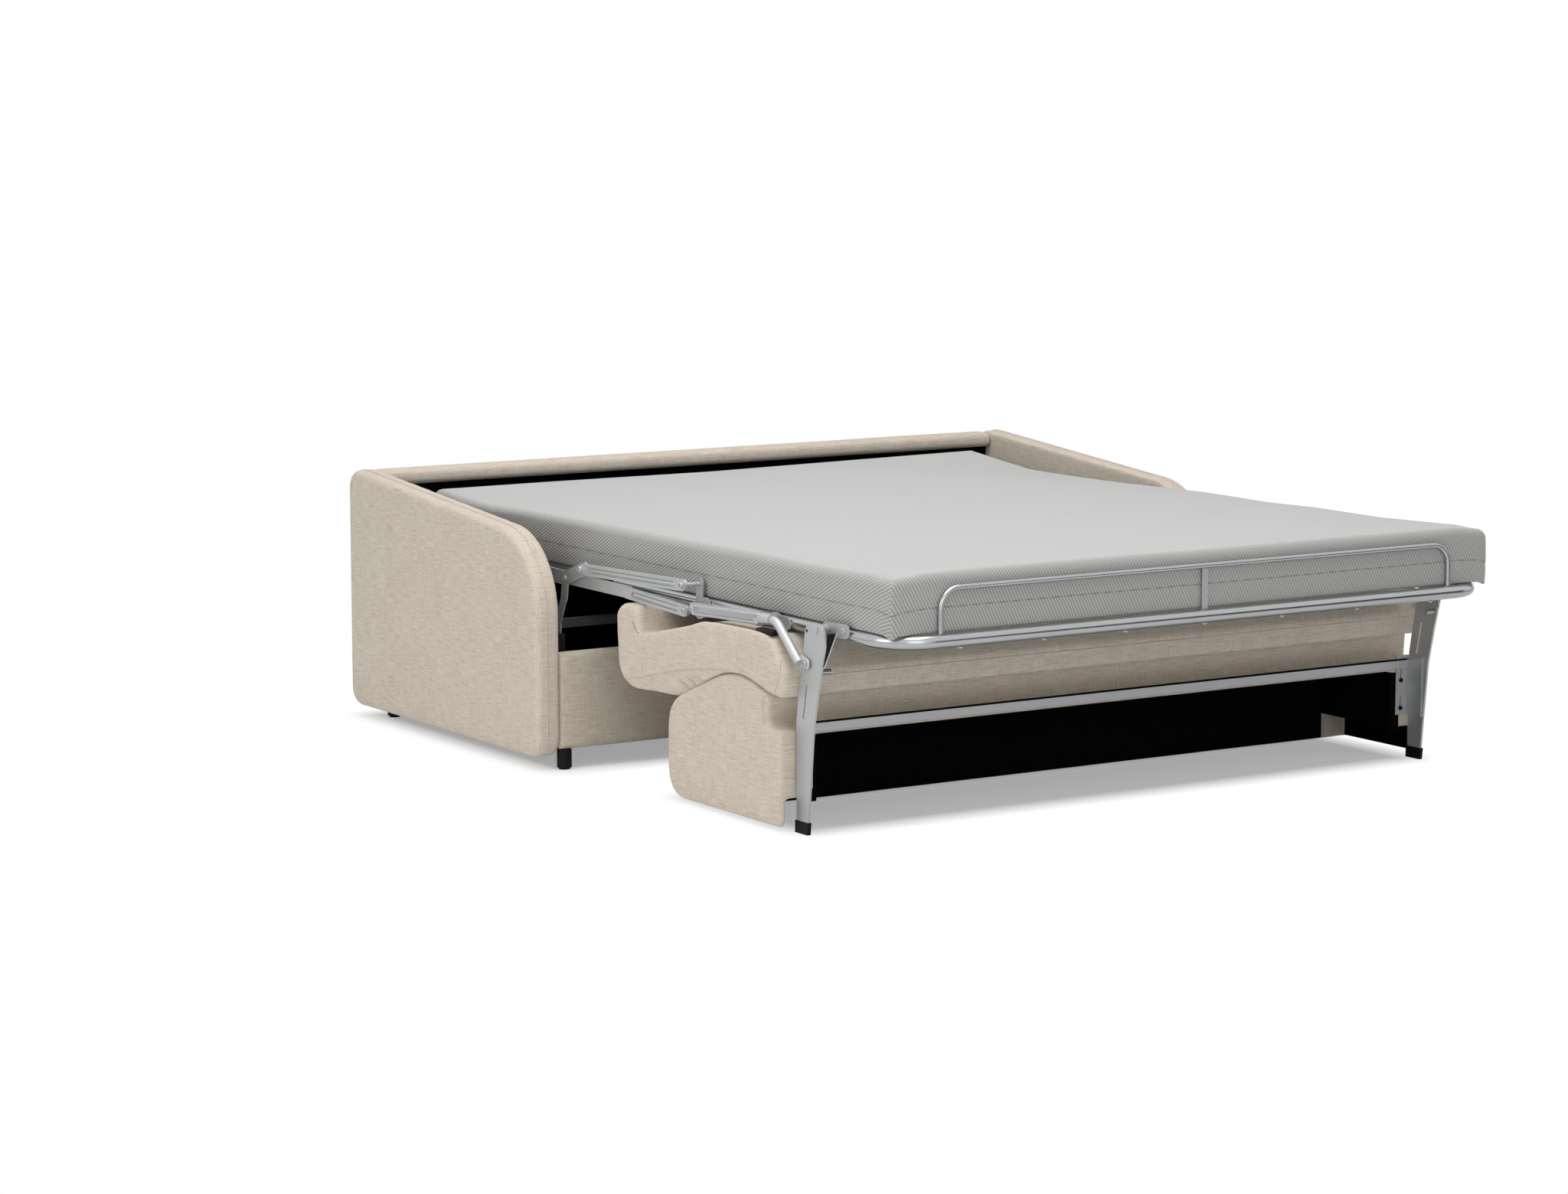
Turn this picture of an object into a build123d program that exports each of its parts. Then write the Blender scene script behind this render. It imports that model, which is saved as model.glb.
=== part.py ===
"""A sofa bed opened out: a low upholstered base, a folding steel bed frame with its mattress, and the
seat and backrest hanging under the foot end. X runs across, Y from the foot end to the back, Z up from
the floor, in mm."""

import math
import os

from build123d import *

os.makedirs("parts", exist_ok=True)

# Overall sizes
OVERALL_LENGTH = 2140.0
INNER_WIDTH = 1812.0
ARM_THICK = 60.0
SEAM_GAP = 0.3
RUNNING = 0.1

# Upholstered base
BASE_DEPTH = 939.0
ARM_CLEARANCE = 33.0
ARM_REAR_HEIGHT = 608.0
ARM_FRONT_HEIGHT = 530.0
ARM_SHOULDER = 195.0
ARM_CORNER = 45.0
ARM_OUTER_ROUND = 24.0
ARM_INNER_ROUND = 10.0
RAIL_CLEARANCE = 45.0
FRONT_RAIL_HEIGHT = 225.0
FRONT_RAIL_THICK = 30.0
RAIL_SETBACK = 4.0
RAIL_ROUND = 8.0
BEAM_DEPTH = 66.0
BEAM_HEIGHT = 40.0
BEAM_ROUND = 16.0
BEAM_DROP = 2.0
BACK_PANEL_THICK = 35.0
LINING_THICK = 3.0
BASE_BOARD_THICK = 10.0
FOOT_RADIUS = 17.0
FOOT_INSET = 20.0
FOOT_REAR_INSET = 74.0

# Bed frame and mattress
TUBE_RADIUS = 15.0
TUBE_BEND = 95.0
BED_LEVEL = 429.0
MATTRESS_WIDTH = 1600.0
MATTRESS_THICK = 122.0
MATTRESS_HEAD_GAP = 90.0
MATTRESS_BULGE = 2.0
MATTRESS_SEAM = 1.0
MATTRESS_CROWN = 5.0
MATTRESS_ROUND = 14.0
TUBE_INSET = 5.0
BELT_WIDTH = 60.0
BELT_THICK = 3.0
BELT_LIFT = 0.2
HEAD_TUBE_WIDTH = 25.0
HEAD_TUBE_HEIGHT = 20.0
CROSS_TUBE_RADIUS = 12.0
GUARD_RADIUS = 6.0
GUARD_WIDTH = 1366.0
GUARD_HEIGHT = 93.0
GUARD_BEND = 45.0
GUARD_GAP = 1.0
STRAP_WIDTH = 16.0
STRAP_THICK = 2.0

# Steel strip, pins and rods
PLATE = 4.0
LEG_OFFSET = 26.0
LAYER_GAP = 1.0
ROD_GAP = 1.5
LINK_THICK = 7.0
LINK_WIDTH = 26.0
HINGE_WIDTH = 42.0
PIN_RADIUS = 6.0
PIN_HEAD = 10.0
PIN_HEAD_THICK = 2.5
ROD_RADIUS = 10.0
ROD_EYE = 14.0
ROD_BEND = 40.0
LEG_THICK = 5.0
GUSSET_DEPTH = 18.0
GUSSET_THICK = 3.0
STOP_PIN_LENGTH = 25.0
LEG_CAP_HEIGHT = 26.0
LEG_CAP_WALL = 2.0
BRACKET_HEIGHT = 138.0
BRACKET_DEPTH = 55.0
FLANGE_WIDTH = 35.0
KEYHOLE = 4.5
KEYHOLE_SLOT = 5.0
KEYHOLE_TRAVEL = 22.0
KEYHOLE_INSET = 13.0
CROSS_BAR_HEIGHT = 18.0
CROSS_BAR_THICK = 5.0

# Seat and backrest
SOFT_WIDTH = 1748.0
SEAT_ROUND = 10.0
BACK_ROUND = 10.0
BACK_CLEARANCE = 8.0
BACK_WALL = 83.0
BACK_CHEEK = 14.0
CHEEK_CLEARANCE = 70.0
CAVITY_DEPTH = 249.0
CAVITY_TOP = 201.0
NEST_GAP = 0.8

# Places worked out from the sizes
SIDES = (("left", -1.0), ("right", 1.0))
HALF_INNER = INNER_WIDTH / 2
REAR = OVERALL_LENGTH / 2
FRONT = REAR - BASE_DEPTH
FOOT_LINE = TUBE_RADIUS - OVERALL_LENGTH / 2
RAIL_FRONT = FRONT + RAIL_SETBACK
RAIL_REAR = RAIL_FRONT + FRONT_RAIL_THICK
RAIL_TOP = RAIL_CLEARANCE + FRONT_RAIL_HEIGHT
BEAM_BOTTOM = ARM_REAR_HEIGHT - BEAM_DROP - BEAM_HEIGHT
FITTED = HALF_INNER - SEAM_GAP
PANEL_FRONT = REAR - SEAM_GAP - BACK_PANEL_THICK
LINING_FRONT = PANEL_FRONT - SEAM_GAP - LINING_THICK
TUBE_TOP = BED_LEVEL + TUBE_RADIUS
BELT_BOTTOM = TUBE_TOP + BELT_LIFT
MATTRESS_BOTTOM = BELT_BOTTOM + BELT_THICK + SEAM_GAP
MATTRESS_FOOT = FOOT_LINE + GUARD_RADIUS + GUARD_GAP
MATTRESS_HEAD = LINING_FRONT - MATTRESS_HEAD_GAP
TUBE_X = MATTRESS_WIDTH / 2 - TUBE_INSET
TUBE_SIDE = TUBE_X + TUBE_RADIUS
SOFT_HALF = SOFT_WIDTH / 2

# Layers of the mechanism, measured outwards from the side tube
LUG_IN = TUBE_SIDE + BELT_LIFT
LUG_OUT = LUG_IN + PLATE
OUTER_LUG_IN = LUG_OUT + SEAM_GAP
OUTER_LUG_OUT = OUTER_LUG_IN + PLATE
LEG_IN = TUBE_SIDE + LEG_OFFSET
LEG_OUT = LEG_IN + LEG_THICK
ROD_IN = LEG_OUT + LAYER_GAP
ROD_OUT = ROD_IN + PLATE
ROD_AXIS = LEG_OUT + ROD_GAP + ROD_RADIUS
BAR_IN = LEG_OUT
BAR_OUT = BAR_IN + PLATE
SIDE_PLATE_IN = BAR_OUT + LAYER_GAP
SIDE_PLATE_OUT = SIDE_PLATE_IN + PLATE
CHANNEL_IN = BAR_OUT + LAYER_GAP
CHANNEL_OUT = CHANNEL_IN + LINK_THICK
LINK_IN = SIDE_PLATE_OUT + LAYER_GAP
LINK_OUT = LINK_IN + LINK_THICK


def place(line, level):
    """A point (y, z) of the mechanism, from a line across the bed and a height over the tubes."""
    return (line, BED_LEVEL + level)


# Pivots of the folding frame, as (y, z)
BED_PIVOT = place(FRONT - 14, 30)
BAR_PIVOT = place(FRONT + 74, 0)
LINK_END = place(FOOT_LINE + 730, 44)
BAR_END = place(FOOT_LINE + 979, -1)
CHANNEL_END = place(FOOT_LINE + 732, -12)
ROD_PIVOT = place(FOOT_LINE + 706, -4)
FOOT_PIVOT = place(FOOT_LINE + 431, 5)
LEG_PIVOT = place(FOOT_LINE + 225, 8)
ROD_KNEE = place(FOOT_LINE + 358, 12)
ROD_END = place(FOOT_LINE + 268, -66)
STOP_PIN = place(FOOT_LINE + 214, -80)
GUSSET_FOOT = place(FOOT_LINE + 203, -75)
GUSSET_HEAD = place(FOOT_LINE + 191, -11)
FOLD_FRONT = FRONT - 66
FOLD_REAR = FRONT + 164
HEAD_FRONT = FRONT + 129
BEARERS = (FRONT + 330, REAR - 230)


def export(piece, name):
    """Labels a finished piece and writes it under its own name."""
    piece.part.label = name
    export_step(piece.part, f"parts/{name}.step")


def layer(side, inner):
    """The plane across X that a strip of one side is drawn on, looking along the side's outward direction."""
    return Plane(origin=(side * inner, 0, 0), x_dir=(0, 1, 0) if side > 0 else (0, -1, 0), z_dir=(side, 0, 0))


def flat(side, point):
    """A (y, z) point in the coordinates of a side's layer."""
    return (side * point[0], point[1])


def strip(side, start, end, width):
    """Draws a round-ended strip between two (y, z) points of a side's layer."""
    a, b = Vector(*flat(side, start)), Vector(*flat(side, end))
    turn = math.degrees(math.atan2(b.Y - a.Y, b.X - a.X))
    with Locations((a + b) / 2):
        SlotCenterToCenter((b - a).length, width, rotation=turn)


def disc(side, point, radius, mode=Mode.ADD):
    """Draws a round at a (y, z) point of a side's layer."""
    with Locations(flat(side, point)):
        Circle(radius, mode=mode)


def outline(points, radii):
    """Draws a closed outline with a round at each corner."""
    with BuildLine() as line:
        FilletPolyline(*points, radius=radii, close=True)
    make_face(line.edges())


def box(low, high):
    """Adds a block between two opposite corners."""
    size = [b - a for a, b in zip(low, high)]
    with Locations(tuple((a + b) / 2 for a, b in zip(low, high))):
        Box(*size)


def from_foot(points):
    """Turns (distance from the foot tube, height) pairs into (y, z) points."""
    return [(FOOT_LINE + y, z) for y, z in points]


# Arm panels
ARM_OUTLINE = [(FRONT, ARM_CLEARANCE), (REAR, ARM_CLEARANCE), (REAR, ARM_REAR_HEIGHT),
               (FRONT, ARM_FRONT_HEIGHT)]
for name, side in SIDES:
    with BuildPart() as arm:
        with BuildSketch(layer(side, HALF_INNER)):
            corners = [flat(side, p) for p in ARM_OUTLINE]
            outline(corners, [ARM_CORNER, ARM_CORNER, ARM_CORNER, ARM_SHOULDER])
        extrude(amount=ARM_THICK)
        faces = arm.faces().sort_by(Axis.X)
        fillet((faces[-1] if side > 0 else faces[0]).edges(), ARM_OUTER_ROUND)
        faces = arm.faces().filter_by(Axis.X).sort_by(Axis.X)
        fillet((faces[0] if side > 0 else faces[-1]).edges(), ARM_INNER_ROUND)
    export(arm, f"arm_{name}")

# Front rail, back beam, back panel, lining and base board
with BuildPart() as front_rail:
    box((-FITTED, RAIL_FRONT, RAIL_CLEARANCE), (FITTED, RAIL_REAR, RAIL_TOP))
    fillet(front_rail.edges().filter_by(Axis.X), RAIL_ROUND)
export(front_rail, "front_rail")

with BuildPart() as back_beam:
    box((-FITTED, REAR - BEAM_DEPTH, BEAM_BOTTOM), (FITTED, REAR - SEAM_GAP, BEAM_BOTTOM + BEAM_HEIGHT))
    fillet(back_beam.edges().filter_by(Axis.X), BEAM_ROUND)
export(back_beam, "back_beam")

with BuildPart() as back_panel:
    box((-FITTED, PANEL_FRONT, RAIL_CLEARANCE), (FITTED, REAR - SEAM_GAP, BEAM_BOTTOM - SEAM_GAP))
    fillet(back_panel.edges().filter_by(Axis.X).group_by(Axis.Y)[-1], RAIL_ROUND)
export(back_panel, "back_panel")

BOARD_TOP = RAIL_CLEARANCE + BASE_BOARD_THICK
with BuildPart() as back_lining:
    box((-FITTED, LINING_FRONT, BOARD_TOP + SEAM_GAP),
        (FITTED, LINING_FRONT + LINING_THICK, BEAM_BOTTOM - SEAM_GAP))
export(back_lining, "back_lining")

with BuildPart() as base_board:
    box((-FITTED, RAIL_REAR + SEAM_GAP, RAIL_CLEARANCE), (FITTED, PANEL_FRONT - SEAM_GAP, BOARD_TOP))
export(base_board, "base_board")

# Round feet, turned with a small glide under each
FOOT_X = HALF_INNER - FOOT_INSET
GLIDE = 4.0
FOOT_Y = (RAIL_FRONT + FRONT_RAIL_THICK / 2, REAR - FOOT_REAR_INSET)
FOOT_PROFILE = [(0, 0), (FOOT_RADIUS - GLIDE, 0), (FOOT_RADIUS - GLIDE, GLIDE), (FOOT_RADIUS, GLIDE),
                (FOOT_RADIUS, RAIL_CLEARANCE), (0, RAIL_CLEARANCE)]
with BuildPart() as feet:
    for spot in [(side * FOOT_X, y, 0) for _, side in SIDES for y in FOOT_Y]:
        with BuildSketch(Plane(origin=spot, x_dir=(1, 0, 0), z_dir=(0, -1, 0))):
            Polygon(*FOOT_PROFILE, align=None)
        revolve(axis=Axis(spot, (0, 0, 1)))
export(feet, "feet")

# Rails inside the arms, which carry the mechanism and the head bearers
LOWER_STEP = FRONT + 74
UPPER_STEP = FRONT + 169
ARM_RAIL_REAR = LINING_FRONT - 30
ARM_RAIL_TOP = BED_LEVEL + 26
STEP_Z = BED_LEVEL - 129
RAIL_FOOT_Z = BED_LEVEL - 214
for name, side in SIDES:
    with BuildPart() as arm_rail:
        with BuildSketch(layer(side, SIDE_PLATE_OUT)):
            step = [(LOWER_STEP, RAIL_FOOT_Z), (ARM_RAIL_REAR, RAIL_FOOT_Z), (ARM_RAIL_REAR, ARM_RAIL_TOP),
                    (UPPER_STEP, ARM_RAIL_TOP), (UPPER_STEP, STEP_Z), (LOWER_STEP, STEP_Z)]
            Polygon(*[flat(side, p) for p in step], align=None)
        extrude(amount=HALF_INNER - SEAM_GAP - SIDE_PLATE_OUT)
    export(arm_rail, f"arm_rail_{name}")

# Side plates of the mechanism with their two fixed pivots
NECK = place(FRONT + 81, -45)
UPRIGHT = place(FRONT + 111, -109)
UPRIGHT_FOOT = place(FRONT + 111, -190)
PLATE_TAIL = place(FRONT + 299, 5)
for name, side in SIDES:
    with BuildPart() as side_plate:
        with BuildSketch(layer(side, SIDE_PLATE_IN)):
            strip(side, BED_PIVOT, BAR_PIVOT, LINK_WIDTH + 6)
            strip(side, BAR_PIVOT, PLATE_TAIL, LINK_WIDTH + 6)
            strip(side, BAR_PIVOT, NECK, LINK_WIDTH)
            strip(side, NECK, UPRIGHT, LINK_WIDTH - 4)
            strip(side, UPRIGHT, UPRIGHT_FOOT, LINK_WIDTH)
            for pivot in (BED_PIVOT, BAR_PIVOT):
                disc(side, pivot, PIN_RADIUS, Mode.SUBTRACT)
        extrude(amount=PLATE)
    export(side_plate, f"side_plate_{name}")

with BuildPart() as fixed_pins:
    for name, side in SIDES:
        bed_head = LINK_OUT + RUNNING
        bar_start = BAR_IN - RUNNING
        for pivot, start, end, head in (
            (BED_PIVOT, SIDE_PLATE_IN, bed_head, bed_head),
            (BAR_PIVOT, bar_start, SIDE_PLATE_OUT - SEAM_GAP, bar_start - PIN_HEAD_THICK),
        ):
            with BuildSketch(layer(side, start)):
                disc(side, pivot, PIN_RADIUS)
            extrude(amount=end - start)
            with BuildSketch(layer(side, head)):
                disc(side, pivot, PIN_HEAD)
            extrude(amount=PIN_HEAD_THICK)
export(fixed_pins, "fixed_pins")

with BuildPart() as base_cross_tube:
    with BuildSketch(Plane.YZ.offset(-SIDE_PLATE_IN)):
        with Locations(UPRIGHT):
            Rectangle(HEAD_TUBE_HEIGHT, HEAD_TUBE_HEIGHT)
            Rectangle(HEAD_TUBE_HEIGHT - 4, HEAD_TUBE_HEIGHT - 4, mode=Mode.SUBTRACT)
    extrude(amount=2 * SIDE_PLATE_IN)
export(base_cross_tube, "base_cross_tube")

# Head frame on its two bearers, with webbing belts
HEAD_TUBE_TOP = TUBE_TOP
HEAD_TUBE_BOTTOM = HEAD_TUBE_TOP - HEAD_TUBE_HEIGHT
HEAD_REAR = MATTRESS_HEAD - 10
BEARER_WIDTH = 30.0
BEARER_HEIGHT = 14.0
with BuildPart() as head_bearers:
    for y in BEARERS:
        box((-SIDE_PLATE_OUT, y, HEAD_TUBE_BOTTOM - BEARER_HEIGHT),
            (SIDE_PLATE_OUT, y + BEARER_WIDTH, HEAD_TUBE_BOTTOM))
export(head_bearers, "head_bearers")

with BuildPart() as head_frame:
    with BuildSketch(Plane.XY.offset(HEAD_TUBE_BOTTOM)):
        with Locations((0, (HEAD_FRONT + HEAD_REAR) / 2)):
            RectangleRounded(2 * TUBE_X, HEAD_REAR - HEAD_FRONT, HEAD_TUBE_WIDTH)
            Rectangle(2 * (TUBE_X - HEAD_TUBE_WIDTH), HEAD_REAR - HEAD_FRONT - 2 * HEAD_TUBE_WIDTH,
                      mode=Mode.SUBTRACT)
    extrude(amount=HEAD_TUBE_HEIGHT)
export(head_frame, "head_frame")


def belts(front, rear, count):
    """Adds webbing belts across the bed, spaced evenly between two lines."""
    pitch = (rear - front) / count
    for i in range(count):
        middle = front + pitch * (i + 0.5)
        box((-TUBE_X, middle - BELT_WIDTH / 2, BELT_BOTTOM),
            (TUBE_X, middle + BELT_WIDTH / 2, BELT_BOTTOM + BELT_THICK))


with BuildPart() as head_webbing:
    belts(HEAD_FRONT + 10, HEAD_REAR - 10, 6)
export(head_webbing, "head_webbing")


def mattress_part(name, start, end):
    """Makes one stretch of the mattress: crowned on top, its sides drawn in along the sewn line."""
    half, low = MATTRESS_WIDTH / 2, MATTRESS_BOTTOM
    high, middle = low + MATTRESS_THICK - MATTRESS_CROWN, low + MATTRESS_THICK / 2
    seam = half - MATTRESS_SEAM
    edge = half - MATTRESS_BULGE
    with BuildPart() as mattress:
        with BuildSketch(Plane.XZ.offset(-end)) as section:
            with BuildLine() as edges:
                Line((-edge, low), (edge, low))
                SagittaArc((edge, low), (seam, middle), -MATTRESS_BULGE)
                SagittaArc((seam, middle), (edge, high), -MATTRESS_BULGE)
                SagittaArc((edge, high), (-edge, high), -MATTRESS_CROWN)
                SagittaArc((-edge, high), (-seam, middle), -MATTRESS_BULGE)
                SagittaArc((-seam, middle), (-edge, low), -MATTRESS_BULGE)
            make_face(edges.edges())
            fillet(section.vertices().group_by(Axis.Y)[-1], MATTRESS_ROUND)
            fillet(section.vertices().group_by(Axis.Y)[0], MATTRESS_ROUND / 2)
        extrude(amount=end - start)
    export(mattress, name)


mattress_part("mattress_head", FOLD_REAR + SEAM_GAP, MATTRESS_HEAD)
mattress_part("mattress_fold", FOLD_FRONT + SEAM_GAP, FOLD_REAR)
mattress_part("mattress_middle", FOOT_PIVOT[0] + SEAM_GAP, FOLD_FRONT)
mattress_part("mattress_foot", MATTRESS_FOOT, FOOT_PIVOT[0])

# Middle section: side tubes with their hinge plates, a cross tube at each end and belts
TUBE_GAP = 18.0
MIDDLE_FRONT = FOOT_PIVOT[0] + TUBE_GAP
TUBE_SETBACK = 59.0
MIDDLE_REAR = BED_PIVOT[0] - TUBE_SETBACK
LUG_REACH = 54.0
for name, side in SIDES:
    with BuildPart() as middle_tube:
        with BuildSketch(Plane.XZ.offset(-MIDDLE_REAR)):
            with Locations((side * TUBE_X, BED_LEVEL)):
                Circle(TUBE_RADIUS)
                Circle(TUBE_RADIUS - 2, mode=Mode.SUBTRACT)
        extrude(amount=MIDDLE_REAR - MIDDLE_FRONT)
    export(middle_tube, f"middle_tube_{name}")

    with BuildPart() as fold_lug:
        with BuildSketch(layer(side, OUTER_LUG_IN)):
            strip(side, FOOT_PIVOT, (FOOT_PIVOT[0] + LUG_REACH, BED_LEVEL), LINK_WIDTH)
            disc(side, FOOT_PIVOT, PIN_RADIUS, Mode.SUBTRACT)
        extrude(amount=PLATE)
        with BuildSketch(layer(side, LUG_IN)):
            disc(side, (FOOT_PIVOT[0] + LUG_REACH, BED_LEVEL), LINK_WIDTH / 2)
        extrude(amount=OUTER_LUG_IN - LUG_IN)
    export(fold_lug, f"fold_lug_{name}")

    with BuildPart() as hinge_plate:
        with BuildSketch(layer(side, LUG_IN)):
            strip(side, ROD_PIVOT, CHANNEL_END, HINGE_WIDTH)
            strip(side, CHANNEL_END, LINK_END, LINK_WIDTH)
            for pivot in (ROD_PIVOT, LINK_END, CHANNEL_END):
                disc(side, pivot, PIN_RADIUS - 1, Mode.SUBTRACT)
        extrude(amount=PLATE)
    export(hinge_plate, f"hinge_plate_{name}")

    with BuildPart() as upper_link:
        with BuildSketch(layer(side, LINK_IN)):
            strip(side, BED_PIVOT, LINK_END, LINK_WIDTH)
            disc(side, BED_PIVOT, PIN_RADIUS + RUNNING, Mode.SUBTRACT)
            disc(side, LINK_END, PIN_RADIUS - 1, Mode.SUBTRACT)
        extrude(amount=LINK_THICK)
        along = Vector(*BED_PIVOT) - Vector(*LINK_END)
        rib_start = Vector(*LINK_END) + along.normalized() * 40
        rib_end = Vector(*BED_PIVOT) - along.normalized() * 40
        with BuildSketch(layer(side, LINK_OUT)):
            strip(side, (rib_start.X, rib_start.Y), (rib_end.X, rib_end.Y), LINK_WIDTH / 2)
        extrude(amount=-LINK_THICK / 2, mode=Mode.SUBTRACT)
    export(upper_link, f"upper_link_{name}")

    with BuildPart() as lower_channel:
        with BuildSketch(layer(side, CHANNEL_IN)):
            strip(side, BAR_END, CHANNEL_END, LINK_WIDTH)
        extrude(amount=LINK_THICK)
        with BuildSketch(layer(side, LUG_OUT)):
            disc(side, CHANNEL_END, PIN_RADIUS + 3)
        extrude(amount=CHANNEL_IN - LUG_OUT)
        along = Vector(*BAR_END) - Vector(*CHANNEL_END)
        rib_start = Vector(*CHANNEL_END) + along.normalized() * 30
        rib_end = Vector(*BAR_END) - along.normalized() * 30
        with BuildSketch(layer(side, CHANNEL_OUT)):
            strip(side, (rib_start.X, rib_start.Y), (rib_end.X, rib_end.Y), LINK_WIDTH / 2)
        extrude(amount=-LINK_THICK / 2, mode=Mode.SUBTRACT)
    export(lower_channel, f"lower_channel_{name}")

with BuildPart() as moving_pins:
    for name, side in SIDES:
        for pivot, start, end, shaft in ((LINK_END, LUG_IN, LINK_OUT, PIN_RADIUS - 1),
                                         (ROD_PIVOT, LUG_IN, ROD_OUT + RUNNING, PIN_RADIUS - 1),
                                         (FOOT_PIVOT, LUG_IN - RUNNING, OUTER_LUG_OUT, PIN_RADIUS)):
            with BuildSketch(layer(side, start)):
                disc(side, pivot, shaft)
            extrude(amount=end - start)
            with BuildSketch(layer(side, end)):
                disc(side, pivot, PIN_HEAD - 1)
            extrude(amount=PIN_HEAD_THICK)
export(moving_pins, "moving_pins")

with BuildPart() as middle_cross_tubes:
    with BuildSketch(Plane.YZ.offset(TUBE_RADIUS - TUBE_X)):
        with Locations((MIDDLE_FRONT + 30, BED_LEVEL), (MIDDLE_REAR - 30, BED_LEVEL)):
            Circle(CROSS_TUBE_RADIUS)
    extrude(amount=2 * (TUBE_X - TUBE_RADIUS))
export(middle_cross_tubes, "middle_cross_tubes")

with BuildPart() as middle_webbing:
    belts(MIDDLE_FRONT + 10, MIDDLE_REAR - 10, 6)
export(middle_webbing, "middle_webbing")

# Rear bars, the second pair of links on the fixed plates
for name, side in SIDES:
    with BuildPart() as rear_bar:
        with BuildSketch(layer(side, BAR_IN)):
            strip(side, BAR_PIVOT, BAR_END, LINK_WIDTH + 2)
            disc(side, BAR_PIVOT, PIN_RADIUS + RUNNING, Mode.SUBTRACT)
        extrude(amount=PLATE)
    export(rear_bar, f"rear_bar_{name}")

# Leg rods: a ribbed bar that turns into a bent round arm, with a flat eye on the leg
RIB_INSET = 40.0
for name, side in SIDES:
    with BuildPart() as leg_rod:
        with BuildSketch(layer(side, ROD_IN)):
            strip(side, ROD_PIVOT, FOOT_PIVOT, LINK_WIDTH)
            disc(side, ROD_PIVOT, PIN_RADIUS - 1 + RUNNING, Mode.SUBTRACT)
        extrude(amount=PLATE)
        along = Vector(*FOOT_PIVOT) - Vector(*ROD_PIVOT)
        rib_start = Vector(*ROD_PIVOT) + along.normalized() * RIB_INSET
        with BuildSketch(layer(side, ROD_OUT)):
            strip(side, (rib_start.X, rib_start.Y), FOOT_PIVOT, LINK_WIDTH / 2)
        extrude(amount=PLATE)
        bent = [(side * ROD_AXIS, *p) for p in (FOOT_PIVOT, ROD_KNEE, ROD_END)]
        with BuildLine() as arm_line:
            FilletPolyline(*bent, radius=ROD_BEND)
        with BuildSketch(Plane(origin=bent[0], z_dir=arm_line.line % 0)):
            Circle(ROD_RADIUS)
        sweep(path=arm_line.line)
        with BuildSketch(layer(side, ROD_IN)):
            disc(side, ROD_END, ROD_EYE)
        extrude(amount=PLATE)
        with BuildSketch(layer(side, ROD_OUT)):
            disc(side, ROD_END, PIN_HEAD)
        extrude(amount=PLATE)
    export(leg_rod, f"leg_rod_{name}")

# Foot section: the bent tube, its guard rail and strap, belts, lugs and leg brackets
SIDE_TUBE_END = FOOT_PIVOT[0] - TUBE_GAP
with BuildPart() as foot_tube:
    with BuildLine() as tube_line:
        FilletPolyline((-TUBE_X, SIDE_TUBE_END, BED_LEVEL), (-TUBE_X, FOOT_LINE, BED_LEVEL),
                       (TUBE_X, FOOT_LINE, BED_LEVEL), (TUBE_X, SIDE_TUBE_END, BED_LEVEL), radius=TUBE_BEND)
    with BuildSketch(Plane(origin=tube_line.line @ 0, z_dir=tube_line.line % 0)):
        Circle(TUBE_RADIUS)
    sweep(path=tube_line.line)
export(foot_tube, "foot_tube")

GUARD_X = GUARD_WIDTH / 2
GUARD_TOP = TUBE_TOP + GUARD_HEIGHT
with BuildPart() as guard_rail:
    with BuildLine() as guard_line:
        FilletPolyline((-GUARD_X, FOOT_LINE, TUBE_TOP), (-GUARD_X, FOOT_LINE, GUARD_TOP),
                       (GUARD_X, FOOT_LINE, GUARD_TOP), (GUARD_X, FOOT_LINE, TUBE_TOP), radius=GUARD_BEND)
    with BuildSketch(Plane(origin=guard_line.line @ 0, z_dir=guard_line.line % 0)):
        Circle(GUARD_RADIUS)
    sweep(path=guard_line.line)
export(guard_rail, "guard_rail")

with BuildPart() as guard_strap:
    box((-STRAP_WIDTH / 2, FOOT_LINE - STRAP_THICK / 2, TUBE_TOP + SEAM_GAP),
        (STRAP_WIDTH / 2, FOOT_LINE + STRAP_THICK / 2, GUARD_TOP - GUARD_RADIUS - SEAM_GAP))
export(guard_strap, "guard_strap")

with BuildPart() as foot_webbing:
    belts(FOOT_LINE + TUBE_BEND, SIDE_TUBE_END - 10, 3)
export(foot_webbing, "foot_webbing")

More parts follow.
